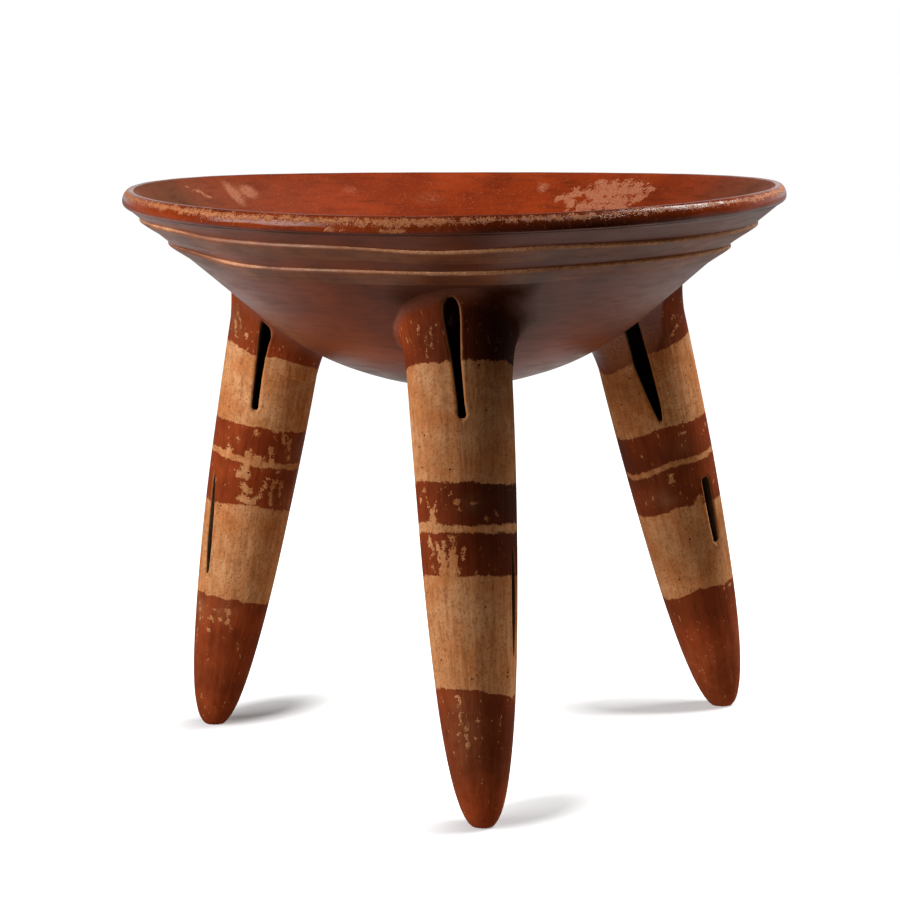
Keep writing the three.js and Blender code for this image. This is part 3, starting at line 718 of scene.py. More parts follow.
def wall_offset(down, turn):
    """How far the bowl's outer face stands out of the true wall, at a distance down it: it
    dips above each ridge, stays low behind the ridge, and is true again under its tail."""
    offset = np.zeros(np.shape(down))
    for number, reach in enumerate(FINGER_REACH):
        below = down - RIDGE_TOPS[number] - ridge_stray(number, turn)
        hidden = RIDGE_SHOULDER + RIDGE_TAIL - DIP_COVERED
        places = [-reach, 0, hidden, hidden + 1]
        offset += np.interp(below, places, [0, -FINGER_DIP, -FINGER_DIP, 0], left=0, right=0)
    return offset


WALL_LENGTH = (SEAT_RADIUS - BELLY_RADIUS * math.sin(WALL_LEAN)) / WALL_COS


def down_the_wall(radius):
    """How far down the outer face from the lip's seat a radius lies: along the straight wall,
    then along the belly's arc."""
    arc = (WALL_LEAN - np.arcsin(np.clip(radius / BELLY_RADIUS, 0, math.sin(WALL_LEAN)))) * BELLY_RADIUS
    return np.minimum((SEAT_RADIUS - radius) / WALL_COS, WALL_LENGTH) + arc


LEAST_REACH = 5.0  # a degree of turn counts for no less than at this radius, near the axis


def bowl_clouds(points, clouds):
    """How deep in the clouds of the bowl's outer face places near that face lie."""
    radius = np.maximum(np.hypot(points[..., 0], points[..., 1]), LEAST_REACH)
    turn = np.degrees(np.arctan2(points[..., 1], points[..., 0]))
    return clouded(turn, down_the_wall(radius), radius, clouds)


def hand_swell(turn, along, reach):
    """A slow unevenness in millimetres: a few sine waves round the bowl and along the clay,
    at turns that don't repeat."""
    angle = np.radians(turn)
    slow = np.sin(3 * angle + along / 21) + 0.7 * np.sin(5 * angle - along / 13 + 1.3)
    return reach * (slow + 0.5 * np.sin(11 * angle + along / 9 + 0.4)) / 2.2


belly = np.linspace(0, 1, 57)[1:] * WALL_LEAN
down = np.linspace(WALL_LENGTH, 0, 62)[1:]
wall_radius, wall_height = on_wall(SEAT_RADIUS - down * WALL_COS, 0)
outside = np.concatenate([
    np.stack([BELLY_RADIUS * np.sin(belly), BELLY_CENTRE - BELLY_RADIUS * np.cos(belly)], -1),
    np.stack([wall_radius, wall_height], -1),
])
inner_radius = BELLY_RADIUS - WALL_THICKNESS
below_seat = on_wall(SEAT_RADIUS, -WALL_THICKNESS)
inner_seat = below_seat[0] + (SEAT_HEIGHT - below_seat[1]) / math.tan(WALL_LEAN)
inner_edge = inner_radius * math.sin(WALL_LEAN)
inner_wall = np.linspace(inner_seat, inner_edge, 50)[:-1]
inner_belly = np.linspace(1, 0, 50)[:-1] * WALL_LEAN
inside = np.concatenate([
    np.stack([inner_wall, SEAT_HEIGHT - (inner_seat - inner_wall) * math.tan(WALL_LEAN)], -1),
    np.stack([inner_radius * np.sin(inner_belly), BELLY_CENTRE - inner_radius * np.cos(inner_belly)], -1),
])
seat = np.stack([np.linspace(SEAT_RADIUS, inner_seat, 7)[1:-1], np.full(5, SEAT_HEIGHT)], -1)
print("the bowl's outline has", len(outside), "places outside and", len(inside), "inside")

# %% The bowl's shell
SHELL_SIDES = 420
SHELL_SWELL = 0.22
MOST_WORN = 0.8  # no place is marked deeper inside a rub, so wide rubs keep ragged holes
outline = np.concatenate([outside, seat, inside])
steps = np.hypot(*np.diff(outline, axis=0).T)
along = np.concatenate([[0], np.cumsum(steps)])[:, None]
points, turn = turned(outline, SHELL_SIDES)
slope = np.gradient(outline, axis=0)
normal = np.stack([slope[:, 1], -slope[:, 0]], -1) / np.hypot(slope[:, 0], slope[:, 1])[:, None]
swell = hand_swell(turn, along, SHELL_SWELL) * np.clip(along / 30, 0, 1)
swell = swell * np.clip(np.abs(along - along[len(outside) + 3]) / 12, 0, 1)
is_outside = np.arange(len(outline))[:, None] + 0 * turn < len(outside)
reach = np.maximum(outline[:, :1], LEAST_REACH)
down_outside = down_the_wall(outline[:, :1]) + 0 * turn
across_inside = outline[:, :1] + 0 * turn
dent = 0 * turn
for dent_marks, dent_depth in SHELL_DENTS:
    deep = rubbed(turn, down_outside, reach, dent_marks)
    dent = dent + dent_depth * np.clip(deep / 2.5 + 0.2, 0, 1) ** 1.5 * is_outside
moved = swell - dent + wall_offset(down_outside, turn) * is_outside
moved_x, moved_y = round_axis(moved * normal[:, :1], turn)
points += np.stack([moved_x, moved_y, moved * normal[:, 1:]], -1)
print("the shell is moved by", round(float(moved.min()), 2), "to", round(float(moved.max()), 2), "mm")

# %% The shell's marks and mesh
rows = len(outline)
faces = across(rows, SHELL_SIDES)
poles = np.array([[0, 0, UNDERSIDE_HEIGHT], [0, 0, UNDERSIDE_HEIGHT + WALL_THICKNESS]])
shell_points = np.concatenate([points.reshape(-1, 3), poles])
ring = np.arange(SHELL_SIDES)
face_sets = [
    faces[: len(outside)].reshape(-1, 4),
    faces[len(outside) :].reshape(-1, 4),
    fan(rows * SHELL_SIDES, ring, outward=True),
    fan(rows * SHELL_SIDES + 1, ring + (rows - 1) * SHELL_SIDES, outward=False),
]
worn_outside = rubbed(turn, down_outside, reach, OUTSIDE_RUBS)
worn_inside = rubbed(turn, across_inside, reach, INSIDE_RUBS)
soot_and_shade_outside = clouded(turn, down_outside, reach, OUTSIDE_SOOT_AND_SHADE)
sheen_and_shade_inside = clouded(turn, across_inside, reach, INSIDE_SHEEN_AND_SHADE)
marks = {
    "worn_and_lit_mm": np.minimum(MOST_WORN, np.where(is_outside, worn_outside, worn_inside)),
    "soot_shade_and_sheen": np.where(is_outside, soot_and_shade_outside, sheen_and_shade_inside),
    "flush": np.where(is_outside, clouded(turn, down_outside, reach, OUTSIDE_FLUSH), 0),
    "dusting": np.where(is_outside, 0, clouded(turn, across_inside, reach, INSIDE_DUST)),
}
for mark, values in marks.items():
    marks[mark] = np.append(values.ravel(), [values[0].mean(), values[-1].mean()])
bowl_shell = into_mesh("bowl_shell", shell_points, face_sets, marks, [outer_slip, inner_slip], [0, 1, 0, 1])
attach(bowl_shell, "root")
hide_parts("bowl")


# %% [markdown]
# ## The lip
# A coil thickens the lip. It is rounded outside, is drawn down the outer wall in a thin
# skirt, and is wiped down into the bowl inside. Its section is closed: the skirt, a bend out
# to the rim, a quarter of an ellipse over the crest, a curve down the inside, and a back that
# is buried in the wall, as the luted coil is.

# %% The lip coil
LIP_SIDES = 720
LIP_TOP = SEAT_HEIGHT + 5.92
NOSE_HEIGHT = 4.0
NOSE_WIDTH = 2.8
LIP_WAIST = LIP_TOP - NOSE_HEIGHT
LIP_CREST = RIM_RADIUS - NOSE_WIDTH
WIPED_RADIUS = 100.0  # where the wiped clay ends inside the bowl
BEND_STEPS, NOSE_STEPS = 10, 22
CREST_STEP = 20  # the step over the nose from which places on the lip are measured


def bezier(corners, share):
    """A curve pulled towards four corners by the cubic Bernstein weights of its share."""
    a, b, c, d = np.array(corners, float)
    t = share[:, None]
    return a * (1 - t) ** 3 + 3 * b * t * (1 - t) ** 2 + 3 * c * t**2 * (1 - t) + d * t**3


skirt_down = np.array([4.8, 4.4, 3.4, 2.2, 1.0, 0.0, -0.8])
skirt_out = np.array([-1.1, -0.56, -0.33, -0.12, 0.12, 0.32, 0.42])
skirt = np.stack(on_wall(SEAT_RADIUS - skirt_down * WALL_COS, skirt_out), -1)
up_wall = np.array([WALL_COS, math.sin(WALL_LEAN)])
bend = [skirt[-1], skirt[-1] + 0.8 * up_wall, [RIM_RADIUS, LIP_WAIST - 0.9], [RIM_RADIUS, LIP_WAIST]]
rounding = bezier(bend, np.linspace(0, 1, BEND_STEPS))
shoulder = np.linspace(0, math.pi / 2, NOSE_STEPS)[1:]
over = np.stack([LIP_CREST + NOSE_WIDTH * np.cos(shoulder), LIP_WAIST + NOSE_HEIGHT * np.sin(shoulder)], -1)
wiped_end = np.array([WIPED_RADIUS, SEAT_HEIGHT - (inner_seat - WIPED_RADIUS) * math.tan(WALL_LEAN)])
wipe = [[LIP_CREST, LIP_TOP], [114.6, LIP_TOP], wiped_end + 11 * up_wall, wiped_end]
wiped = bezier(wipe, np.linspace(0, 1, 40))
buried_end = wiped_end - 0.8 * up_wall - (0, 0.4)
lip_outline = np.concatenate([skirt, rounding[1:], over, wiped[1:], [buried_end]])
lip_steps = np.hypot(*np.diff(lip_outline, axis=0).T)
lip_along = np.concatenate([[0], np.cumsum(lip_steps)])
crest_row = len(skirt) + BEND_STEPS - 1 + CREST_STEP
print("the lip's section is", round(float(lip_steps.sum()), 1), "mm long")

# %% The lip's pressed surface
LUMP_DEPTH = 0.14
lip_points, lip_turn = turned(lip_outline, LIP_SIDES)
crest_mm = (lip_along[crest_row] - lip_along)[:, None] + 0 * lip_turn
ripple = 0.04 * np.sin(np.radians(lip_turn) * 31 + crest_mm / 3)
lump = hand_swell(lip_turn, crest_mm * 2, LUMP_DEPTH) - LUMP_DEPTH + ripple
row = np.arange(len(lip_outline))[:, None]
lump *= np.clip((lip_outline[:, :1] - 105) / 8, 0, 1) * np.clip(row / 8, 0, 1)
lip_points += np.stack([*round_axis(lump, lip_turn), 0.4 * lump], -1)
print("the lip's lumps reach from", round(float(lump.min()), 2), "to", round(float(lump.max()), 2), "mm")

# %% The lip's marks and mesh
LIP_REACH = 118.0  # the radius at which a turn on the lip is counted in millimetres
in_bowl = crest_mm < -1.0
on_skirt = np.arange(len(lip_outline))[:, None] + 0 * lip_turn < len(skirt) + 1
skirt_mm = (SEAT_RADIUS - lip_outline[:, :1]) / WALL_COS + 0 * lip_turn
stripe = np.interp(wrapped(lip_turn - 270), *zip(*LIP_WEAR))
centre = np.interp(wrapped(lip_turn - 270), *zip(*LIP_WEAR_CENTRE))
lip_rubbed = np.maximum(stripe - np.abs(crest_mm - centre), rubbed(lip_turn, crest_mm, LIP_REACH, LIP_RUBS))
skirt_soot_and_shade = clouded(lip_turn, skirt_mm, LIP_REACH, OUTSIDE_SOOT_AND_SHADE)
crest_soot_and_shade = clouded(lip_turn, crest_mm, LIP_REACH, LIP_SOOT_AND_SHADE)
lip_radius = lip_outline[:, :1] + 0 * lip_turn
wiped_worn = np.minimum(MOST_WORN, rubbed(lip_turn, lip_radius, lip_radius, INSIDE_RUBS))
wiped_sheen_and_shade = clouded(lip_turn, lip_radius, lip_radius, INSIDE_SHEEN_AND_SHADE)
lip_marks = {
    "worn_and_lit_mm": np.where(in_bowl, wiped_worn, np.where(on_skirt, NO_RUB, lip_rubbed)),
    "soot_shade_and_sheen": np.where(in_bowl, wiped_sheen_and_shade, np.where(on_skirt, skirt_soot_and_shade, crest_soot_and_shade)),
    "flush": 0 * lip_turn,
    "dusting": np.where(in_bowl, clouded(lip_turn, lip_radius, lip_radius, INSIDE_DUST), 0),
}
lip_marks = {mark: values.ravel() for mark, values in lip_marks.items()}
lip_faces = across(len(lip_outline), LIP_SIDES)
inner_rows = int(np.argmax(in_bowl[:, 0]))


def closing(rows, sides):
    """The faces that join the last row of a section to its first, all the way round."""
    ring = np.arange(sides)
    last = ring + (rows - 1) * sides
    return np.stack([last, np.roll(last, -1), np.roll(ring, -1), ring], -1)


lip_sets = [
    lip_faces[: len(skirt)].reshape(-1, 4),
    lip_faces[len(skirt) : inner_rows].reshape(-1, 4),
    lip_faces[inner_rows:].reshape(-1, 4),
    closing(len(lip_outline), LIP_SIDES),
]
lip_finishes = [outer_slip, lip_slip, inner_slip]
rim_lip = into_mesh("rim_lip", lip_points.reshape(-1, 3), lip_sets, lip_marks, lip_finishes, [0, 1, 2, 0])
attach(rim_lip, "root")
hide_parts("rim_roll")


# %% [markdown]
# ## The two ridges
# Each ridge is a thin coil laid on the wall and smoothed with a finger. Its upper shoulder
# is crisp and its tail is wiped down until it is one with the wall. It was laid by eye, so it
# strays up and down the wall, and rubbing has bared the clay along its crest. That pale line
# is also a painted highlight, brighter and wider than the wear, along the crest and its upper
# flank. The section is a smooth curve for the long face, a quarter round, and a short table
# of places behind it.

# %% The ridges
RIDGE_SIDES = 720
RIDGE_REACH = 105.0  # the radius at which a turn on a ridge is counted in millimetres
# The crest line is partly rubbed clay and partly a painted highlight on the crest's upper flank.
RIDGE_WEAR_AND_HIGHLIGHT = (  # the half width of the rubbed crest line, at a few turns round each ridge
    (
        (200, 0.0), (212, 0.1), (218, -0.5), (238, -0.5), (250, -0.1), (262, 0.6), (285, 0.9), (320, 1.1),
        (350, 0.6), (90, 0),
    ),
    (
        (200, -0.7), (214, -0.6), (221, 0.2), (227, 0.1), (233, -0.5), (250, -0.1), (262, 0.6),
        (285, 0.9), (320, 1.1), (350, 0.6), (90, 0),
    ),
)
# The crest line, rubbed clay and painted highlight, has its middle at this step.
NOSE_CREST_STEP = 9  # the step round the nose at which the rubbed line has its middle


def ridge(name, number):
    """A closed ring. Its section, given as places up from the tail and out of the wall, is a
    long face that swells to its crest, a quarter round, and a steep flank down into the bed."""
    face = bezier([[0, -0.12], [3.6, 0.3], [6.6, 0.95], [8.7, 0.95]], np.linspace(0, 1, 24))
    bend = np.linspace(math.pi / 2, 0, 12)[1:]
    nose = np.stack([8.7 + 0.85 * np.cos(bend), 0.1 + 0.85 * np.sin(bend)], -1)
    back = [[9.6, -0.35], [9.65, -1.0], [9.0, -1.7], [4.5, -1.7], [0.0, -1.4]]
    section = np.concatenate([face, nose, back])
    steps = np.hypot(*np.diff(section, axis=0).T)
    from_crest = np.concatenate([[0], np.cumsum(steps)])
    from_crest = from_crest - from_crest[len(face) + NOSE_CREST_STEP]
    turn = np.linspace(0, 360, RIDGE_SIDES, endpoint=False)
    down = RIDGE_TOPS[number] + RIDGE_SHOULDER + RIDGE_TAIL - section[:, :1] + ridge_stray(number, turn)
    out = section[:, 1:] + hand_swell(turn[None, :], 90 * number + 3 * section[:, :1], 0.08)
    radius, height = on_wall(SEAT_RADIUS - down * WALL_COS, out)
    x, y = round_axis(radius, turn)
    points = np.stack([x, y, height + hand_rise(x, y)], -1)
    turn = turn + 0 * down
    half = np.interp(turn, *zip(*RIDGE_WEAR_AND_HIGHLIGHT[number]), period=360) + 0.25 * hand_swell(turn, 50 * number, 1.0)
    marks = {
        "worn_and_lit_mm": half - np.abs(from_crest[:, None]),
        "soot_shade_and_sheen": 0.3 * clouded(turn, down, RIDGE_REACH, OUTSIDE_SOOT_AND_SHADE),
        "flush": clouded(turn, down, RIDGE_REACH, OUTSIDE_FLUSH),
    }
    marks = {mark: values.ravel() for mark, values in marks.items()}
    rows = len(section)
    face_sets = [across(rows, RIDGE_SIDES).reshape(-1, 4), closing(rows, RIDGE_SIDES)]
    made = into_mesh(name, points.reshape(-1, 3), face_sets, marks, [ridge_slip])
    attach(made, "root")
    return made


upper_coil = ridge("upper_coil", 0)
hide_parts("upper_ridge")
lower_coil = ridge("lower_coil", 1)
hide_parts("lower_ridge")

# %% [markdown]
# ## The legs
# Each leg is a hollow tapering tube, thumbed closed at its tip and worn flat where it
# stands. It leans outwards, so it has directions of its own: up its axis, outwards, and
# sideways. Turn 0 on a leg faces away from the bowl, and places along it are measured up
# from its tip.

# %% Leg sizes
LEG_RADIUS = 18.1
TAPER_LENGTH = 180.0
FOOT_WEAR = 1.0
TIP_SOLID = 14.0
LEG_WALL = 4.5
ROOT_HEIGHT = 150.0
LEGS = {
    "front": {"root_turn": 270.9, "foot_turn": 274.6, "inset": 41.7, "splay": 33.33, "girth": 0.995},
    "left": {"root_turn": 153.7, "foot_turn": 161.0, "inset": 43.618, "splay": 23.1, "girth": 0.993},
    "right": {"root_turn": 25.1, "foot_turn": 29.4, "inset": 40.574, "splay": 45.21, "girth": 1.011},
}


def leg_axes(leg):
    """The leg's foot, and its three directions as columns: outwards, sideways and up."""
    def place(reach, turn, height):
        angle = math.radians(turn)
        return np.array([reach * math.cos(angle), reach * math.sin(angle), height])

    root_reach = SEAT_RADIUS - leg["inset"]
    foot = place(root_reach + leg["splay"], leg["foot_turn"], 0)
    root = place(root_reach, leg["root_turn"], ROOT_HEIGHT)
    up = (root - foot) / np.linalg.norm(root - foot)
    away = (foot - root) * (1, 1, 0)
    out = away - up * (away @ up)
    out /= np.linalg.norm(out)
    return foot, np.stack([out, np.cross(up, out), up], -1)


def taper(share):
    """The blunt taper: one less the square of what is left of the run, to the power 0.36."""
    return (1 - (1 - np.clip(share, 0, 1)) ** 2) ** 0.36


def leg_skin(leg, up):
    """The leg's radius at a height along it."""
    return LEG_RADIUS * leg["girth"] * taper((up + FOOT_WEAR) / TAPER_LENGTH)


def leg_hollow(leg, up):
    """The radius of the hollow inside the leg."""
    return (LEG_RADIUS * leg["girth"] - LEG_WALL) * taper((up - TIP_SOLID) / (TAPER_LENGTH - TIP_SOLID))


def up_to_bowl(foot, axes, x, y):
    """How far up the leg the bowl's face lies, beside the leg's axis, by halving."""
    low, high = np.zeros(np.shape(x)), np.full(np.shape(x), 215.0)
    for _ in range(36):
        middle = (low + high) / 2
        place = foot + np.stack([x, y, middle], -1) @ axes.T
        face = underside(np.hypot(place[..., 0], place[..., 1])) + hand_rise(place[..., 0], place[..., 1])
        below = place[..., 2] < face
        low, high = np.where(below, middle, low), np.where(below, high, middle)
    return low


for name, leg in LEGS.items():
    foot, axes = leg_axes(leg)
    print(name, "leg meets the bowl", round(float(up_to_bowl(foot, axes, 0.0, 0.0)), 1), "mm up its axis")

# %% [markdown]
# ## Slits
# A knife cut each slit while the clay was leather hard, so the pellets can be heard. Two
# neighbouring columns of the leg's grid are moved to the two edges of the cut at each
# height, the faces between them are left out, and walls join the outer skin to the hollow.
# The columns beside the cut follow, less and less, so the skin stays evenly faced.

# %% Slit sizes and how they part the grid
SLITS = {  # rows of (height up the leg, turn round it, width), from the bottom to the top
    "front": {
        "root": (
            (136.1, -13.0, 0.8), (137.4, -13.0, 2.9), (141, -13.6, 2.4), (149, -15, 2.7),
            (157, -16.5, 3.1), (164, -17.8, 4.5), (170, -18.5, 5.6), (173.7, -18.8, 5.6),
            (175.7, -19, 4.4), (176.9, -19, 2.2),
        ),
        "leaf": (
            (55.5, 56, 0.3), (58, 56, 1.6), (68, 55.5, 3.0), (80, 54.5, 3.0), (90, 53.5, 1.6),
            (93, 53, 0.3),
        ),
    },
    "left": {
        "root": (
            (124.4, 78.3, 0.8), (125.8, 78.1, 2.6), (128.5, 77.4, 2.6), (137, 76.3, 2.8), (145, 76, 3.2),
            (150, 76.4, 4.0), (154.5, 77.6, 4.8), (156.6, 77.2, 4.2), (158.2, 76, 2.4),
        ),
        "leaf": (
            (58.5, 38.5, 0.3), (61, 38, 1.6), (70, 35, 3.0), (83, 32, 3.0), (95, 28.5, 1.6),
            (98, 28, 0.3),
        ),
    },
    "right": {
        "root": (
            (126.5, -127, 0.5), (128.2, -127, 1.9), (133, -128.2, 3.4), (141, -131, 4.8),
            (150, -134, 6.2), (158, -134.6, 5.8), (165, -135, 5.7), (200, -135, 6.0),
        ),
        "leaf": (
            (71.4, -83, 0.4), (72.8, -83, 2.6), (80, -83, 3.4), (90, -82.8, 3.8), (97.8, -82.5, 3.9),
            (99.2, -82.5, 2.6),
        ),
    },
}


def parted(turn, up, radius, slit, step, reach):
    """Moves grid turns aside for a slit. In the slit the two columns next to its middle
    stand at its edges, the next two 0.45 and 1.1 mm outside them, and the rest catch up
    within the reach, in degrees. Above and below it the columns close up again."""
    heights, turns, widths = (np.array(column, float) for column in zip(*slit))
    home = turns[len(turns) // 2]
    home = (np.floor(home / step) + 0.5) * step
    aside = wrapped(turn - home)
    middle = np.interp(up, heights, turns) - home
    per_mm = np.degrees(1 / radius)
    half = np.interp(up, heights, widths) / 2 * per_mm
    knots = [0 * half, half, half + 0.45 * per_mm, half + 1.1 * per_mm, reach + 0 * half]
    start = [0, 0.5 * step, 1.5 * step, 2.5 * step, reach]
    size = np.abs(aside)
    moved = size.copy()
    for k in range(4):
        share = (size - start[k]) / (start[k + 1] - start[k])
        inside = (size > start[k]) & (size <= start[k + 1])
        moved = np.where(inside, knots[k] + share * (knots[k + 1] - knots[k]), moved)
    fade = np.clip(1 - (size / reach) ** 2, 0, 1) ** 2
    open_share = np.clip((up - heights[0]) / 3 + 1, 0, 1) * np.clip((heights[-1] - up) / 3 + 1, 0, 1)
    shifted = np.sign(aside) * moved + middle * fade
    return home + aside * (1 - open_share) + shifted * open_share, home


def slit_edge(turn, up, radius, slit):
    """The distance outside a slit's edge, in millimetres, along the skin."""
    heights, turns, widths = (np.array(column, float) for column in zip(*slit))
    beside = np.abs(np.radians(wrapped(turn - np.interp(up, heights, turns)))) * radius
    beyond = np.maximum(np.maximum(heights[0] - up, up - heights[-1]), 0)
    return np.hypot(np.maximum(beside - np.interp(up, heights, widths) / 2, 0), beyond)


def slit_burr(edge):
    """How far the skin stands out at a distance from a slit: a thin ridge that the knife pushed
    up, less the rounding of the cut's own edge, each as a bell curve."""
    return 0.16 * np.exp(-(((edge - 0.9) / 0.5) ** 2)) - 0.42 * np.exp(-((edge / 0.4) ** 2))


print("slits:", sum(len(pair) for pair in SLITS.values()))

# %% [markdown]
# ## Painted bands
# The legs are cream with red bands, and the painter's brush went round by eye, so each
# edge of paint climbs and falls round the leg. The edges are given at a few turns. The mark
# for the finish is a height with the waver taken out: an edge of paint lies at the same
# number all round, and the finish compares it with that number.

# %% Where the paint begins and ends
PAINT_LEVELS = (0.0, 50.0, 88.0, 102.0, 104.0, 119.0, 150.0, 200.0)
PAINT_EDGES = {  # turns, then for each edge its heights at those turns, from the tip up
    "front": (
        (-70, -14, 47, 140), (47.3, 45.7, 43.0, 46), (85.1, 83.7, 83.4, 85), (99.4, 98.2, 97.8, 99),
        (102.9, 100.6, 101.0, 101.5), (116.6, 115.1, 113.9, 116), (156.2, 155.8, 155.8, 150),
    ),
    "left": (
        (29, 66, 91, 160, -100), (51.2, 51.4, 51.6, 50.1, 51), (86.5, 87.9, 88.9, 87.0, 87),
        (105.4, 104.4, 103.7, 103.4, 104.5), (107.8, 106.8, 106.1, 105.8, 107),
        (118.5, 118.5, 118.5, 117.8, 118), (147.8, 144.9, 145.6, 142.6, 148),
    ),
    "right": (
        (175, -126, -62, 60), (51.4, 56.4, 53.6, 51), (87.5, 91.3, 88.3, 87), (103.4, 108.2, 106.3, 104),
        (105.6, 110.4, 108.6, 106), (120.1, 124.5, 122.2, 119), (146.8, 154.1, 154.7, 150),
    ),
}


def paint_height(name, turn, up):
    """The height along a leg with the brush's waver taken out: between one edge of paint and
    the next, a place keeps its share of the way."""
    turns, *edges = PAINT_EDGES[name]
    order = np.argsort(np.array(turns) % 360)
    around = (np.array(turns) % 360)[order]
    heights = [np.zeros(np.shape(turn))]
    for edge in edges:
        heights.append(np.interp(turn % 360, around, np.array(edge, float)[order], period=360))
    heights.append(heights[-1] + (PAINT_LEVELS[-1] - PAINT_LEVELS[-2]))
    level = np.zeros(np.shape(up))
    for k, (low, high) in enumerate(zip(heights[:-1], heights[1:])):
        share = np.clip((up - low) / (high - low), 0, 1)
        level = np.where(up >= low, PAINT_LEVELS[k] + share * (PAINT_LEVELS[k + 1] - PAINT_LEVELS[k]), level)
    return level


print("edges of paint on each leg:", len(PAINT_EDGES["front"]) - 1)

# %% The leg's skin and hollow
LEG_SIDES = 160
LEG_STEP = 360 / LEG_SIDES
ROOT_BURIED = 1.8  # how far a leg's root stands in the bowl's wall
LEAST_HOLLOW = 0.5
TIP_ROWS = -FOOT_WEAR + 9.0 * np.linspace(0, 1, 24)[1:] ** 2.6
SHAFT_ROWS = np.arange(8.8, 108, 0.8)
ROOT_ROWS = np.linspace(0, 1, 96)[1:]
HOLLOW_TIP_ROWS = TIP_SOLID + 36.0 * np.linspace(0, 1, 14)[1:] ** 2.2
PARTED_REACH = {"root": 30, "leaf": 20}  # how many degrees each side of a slit the grid gives way


def leg_rows(foot, axes, turn, radius, buried):
    """The height of every grid point of a leg: even rows up the shaft, and above them rows
    that stretch to end a little inside the bowl's wall on every side."""
    top = up_to_bowl(foot, axes, *round_axis(radius, turn)) + buried
    start = SHAFT_ROWS[-1]
    even = np.concatenate([TIP_ROWS, SHAFT_ROWS])[:, None] + 0 * top
    return np.concatenate([even, start + ROOT_ROWS[:, None] * (top - start)])


def leg_tube(name):
    """The grids of a leg: its foot and directions, then the height, outer radius, hollow's
    radius, outer turn and inner turn of every point, its distance to a slit, and the turn at
    home in each slit. The skin swells a little, is faintly scraped, and has a burr by a slit."""
    leg, slits = LEGS[name], SLITS[name]
    foot, axes = leg_axes(leg)
    turn = (np.arange(LEG_SIDES) * LEG_STEP)[None, :]
    up = leg_rows(foot, axes, turn, LEG_RADIUS, ROOT_BURIED)
    skin = leg_skin(leg, up)
    hollow = np.maximum(leg_hollow(leg, up), LEAST_HOLLOW)
    skin_turn = inner_turn = turn + 0 * up
    homes = {}
    for kind, reach in PARTED_REACH.items():
        skin_turn, homes[kind] = parted(skin_turn, up, skin, slits[kind], LEG_STEP, reach)
        inner_turn, _ = parted(inner_turn, up, hollow, slits[kind], LEG_STEP, reach)
    edge = np.minimum(*(slit_edge(skin_turn, up, skin, slits[kind]) for kind in PARTED_REACH))
    angle = np.radians(skin_turn)
    facets = 0.06 * np.sin(angle * 9 + up / 37) + 0.04 * np.sin(angle * 16 - up / 23)
    swell = hand_swell(skin_turn, up * 0.8, 0.14) + facets
    skin = skin + (swell + slit_burr(edge)) * np.clip(up / 12, 0, 1)
    return foot, axes, up, skin, hollow, skin_turn, inner_turn, edge, homes


def on_leg(foot, axes, turn, radius, up):
    """The place of a point given by its turn, its distance from the leg's axis and its
    height up the leg."""
    return foot + np.stack([*round_axis(radius, turn), up], -1) @ axes.T


def column_at(home):
    """The column of a leg's grid that lies just before the turn at home in a slit."""
    return int(round(home / LEG_STEP - 0.5)) % LEG_SIDES


print("columns round a leg:", LEG_SIDES, "rows:", len(TIP_ROWS) + len(SHAFT_ROWS) + len(ROOT_ROWS))

# %% [markdown]
# ## From grids to a slit tube
# A sleeve is two grids of the same size, one for the skin and one for what lies behind it.
# Where a slit runs, the faces between two columns are left out in both, and walls join the
# two grids, so the clay keeps its thickness and the piece stays closed.


# %% Faces of a sleeve
def sleeve(skin, inner, slits):
    """Faces for grids of point numbers: the skin facing out, the inner grid facing in, the
    walls of each slit (column, first row, last row), and the rims at both ends."""
    sides = skin.shape[1]
    kept = np.ones((len(skin) - 1, sides), bool)
    walls = []
    for column, first, last in slits:
        kept[first:last, column] = False
        beside = (column + 1) % sides
        for edge, order in ((column, (0, 1, 2, 3)), (beside, (3, 2, 1, 0))):
            a, b = skin[first : last + 1, edge], inner[first : last + 1, edge]
            walls.append(np.stack([a[:-1], b[:-1], b[1:], a[1:]], -1)[:, order])
        if first > 0:
            sill = [skin[first, column], skin[first, beside], inner[first, beside], inner[first, column]]
            walls.append(np.array([sill]))
        if last < len(skin) - 1:
            head = [skin[last, column], inner[last, column], inner[last, beside], skin[last, beside]]
            walls.append(np.array([head]))
    skin_beside, inner_beside = np.roll(skin, -1, 1), np.roll(inner, -1, 1)
    face_out = np.stack([skin[:-1], skin_beside[:-1], skin_beside[1:], skin[1:]], -1)[kept]
    face_in = np.stack([inner[:-1], inner[1:], inner_beside[1:], inner_beside[:-1]], -1)[kept]
    top = np.stack([skin[-1], skin_beside[-1], inner_beside[-1], inner[-1]], -1)[kept[-1]]
    foot = np.stack([skin[0], inner[0], inner_beside[0], skin_beside[0]], -1)[kept[0]]
    return face_out, face_in, np.concatenate(walls), top, foot


rims = np.arange(4).reshape(2, 2)
print("faces of the smallest sleeve:", sum(len(faces) for faces in sleeve(rims, rims + 4, [(0, 0, 1)])))

# %% [markdown]
# ## Building a leg
# The hollow ends above the solid tip, so its rows begin higher than those of the skin. Below
# the slits the two grids are closed by themselves, and from there up they make a sleeve.


# %% The three legs
SLEEVE_START = 50.0
UNSEEN = {  # the marks of points that no one sees
    "slipped": 0.0, "paint": 75.0, "worn_and_lit_mm": NO_RUB, "soot_shade_and_sheen": 1.0,
    "flush": 0.0, "dusting": 0.0, "slit_mm": 0.0,
}


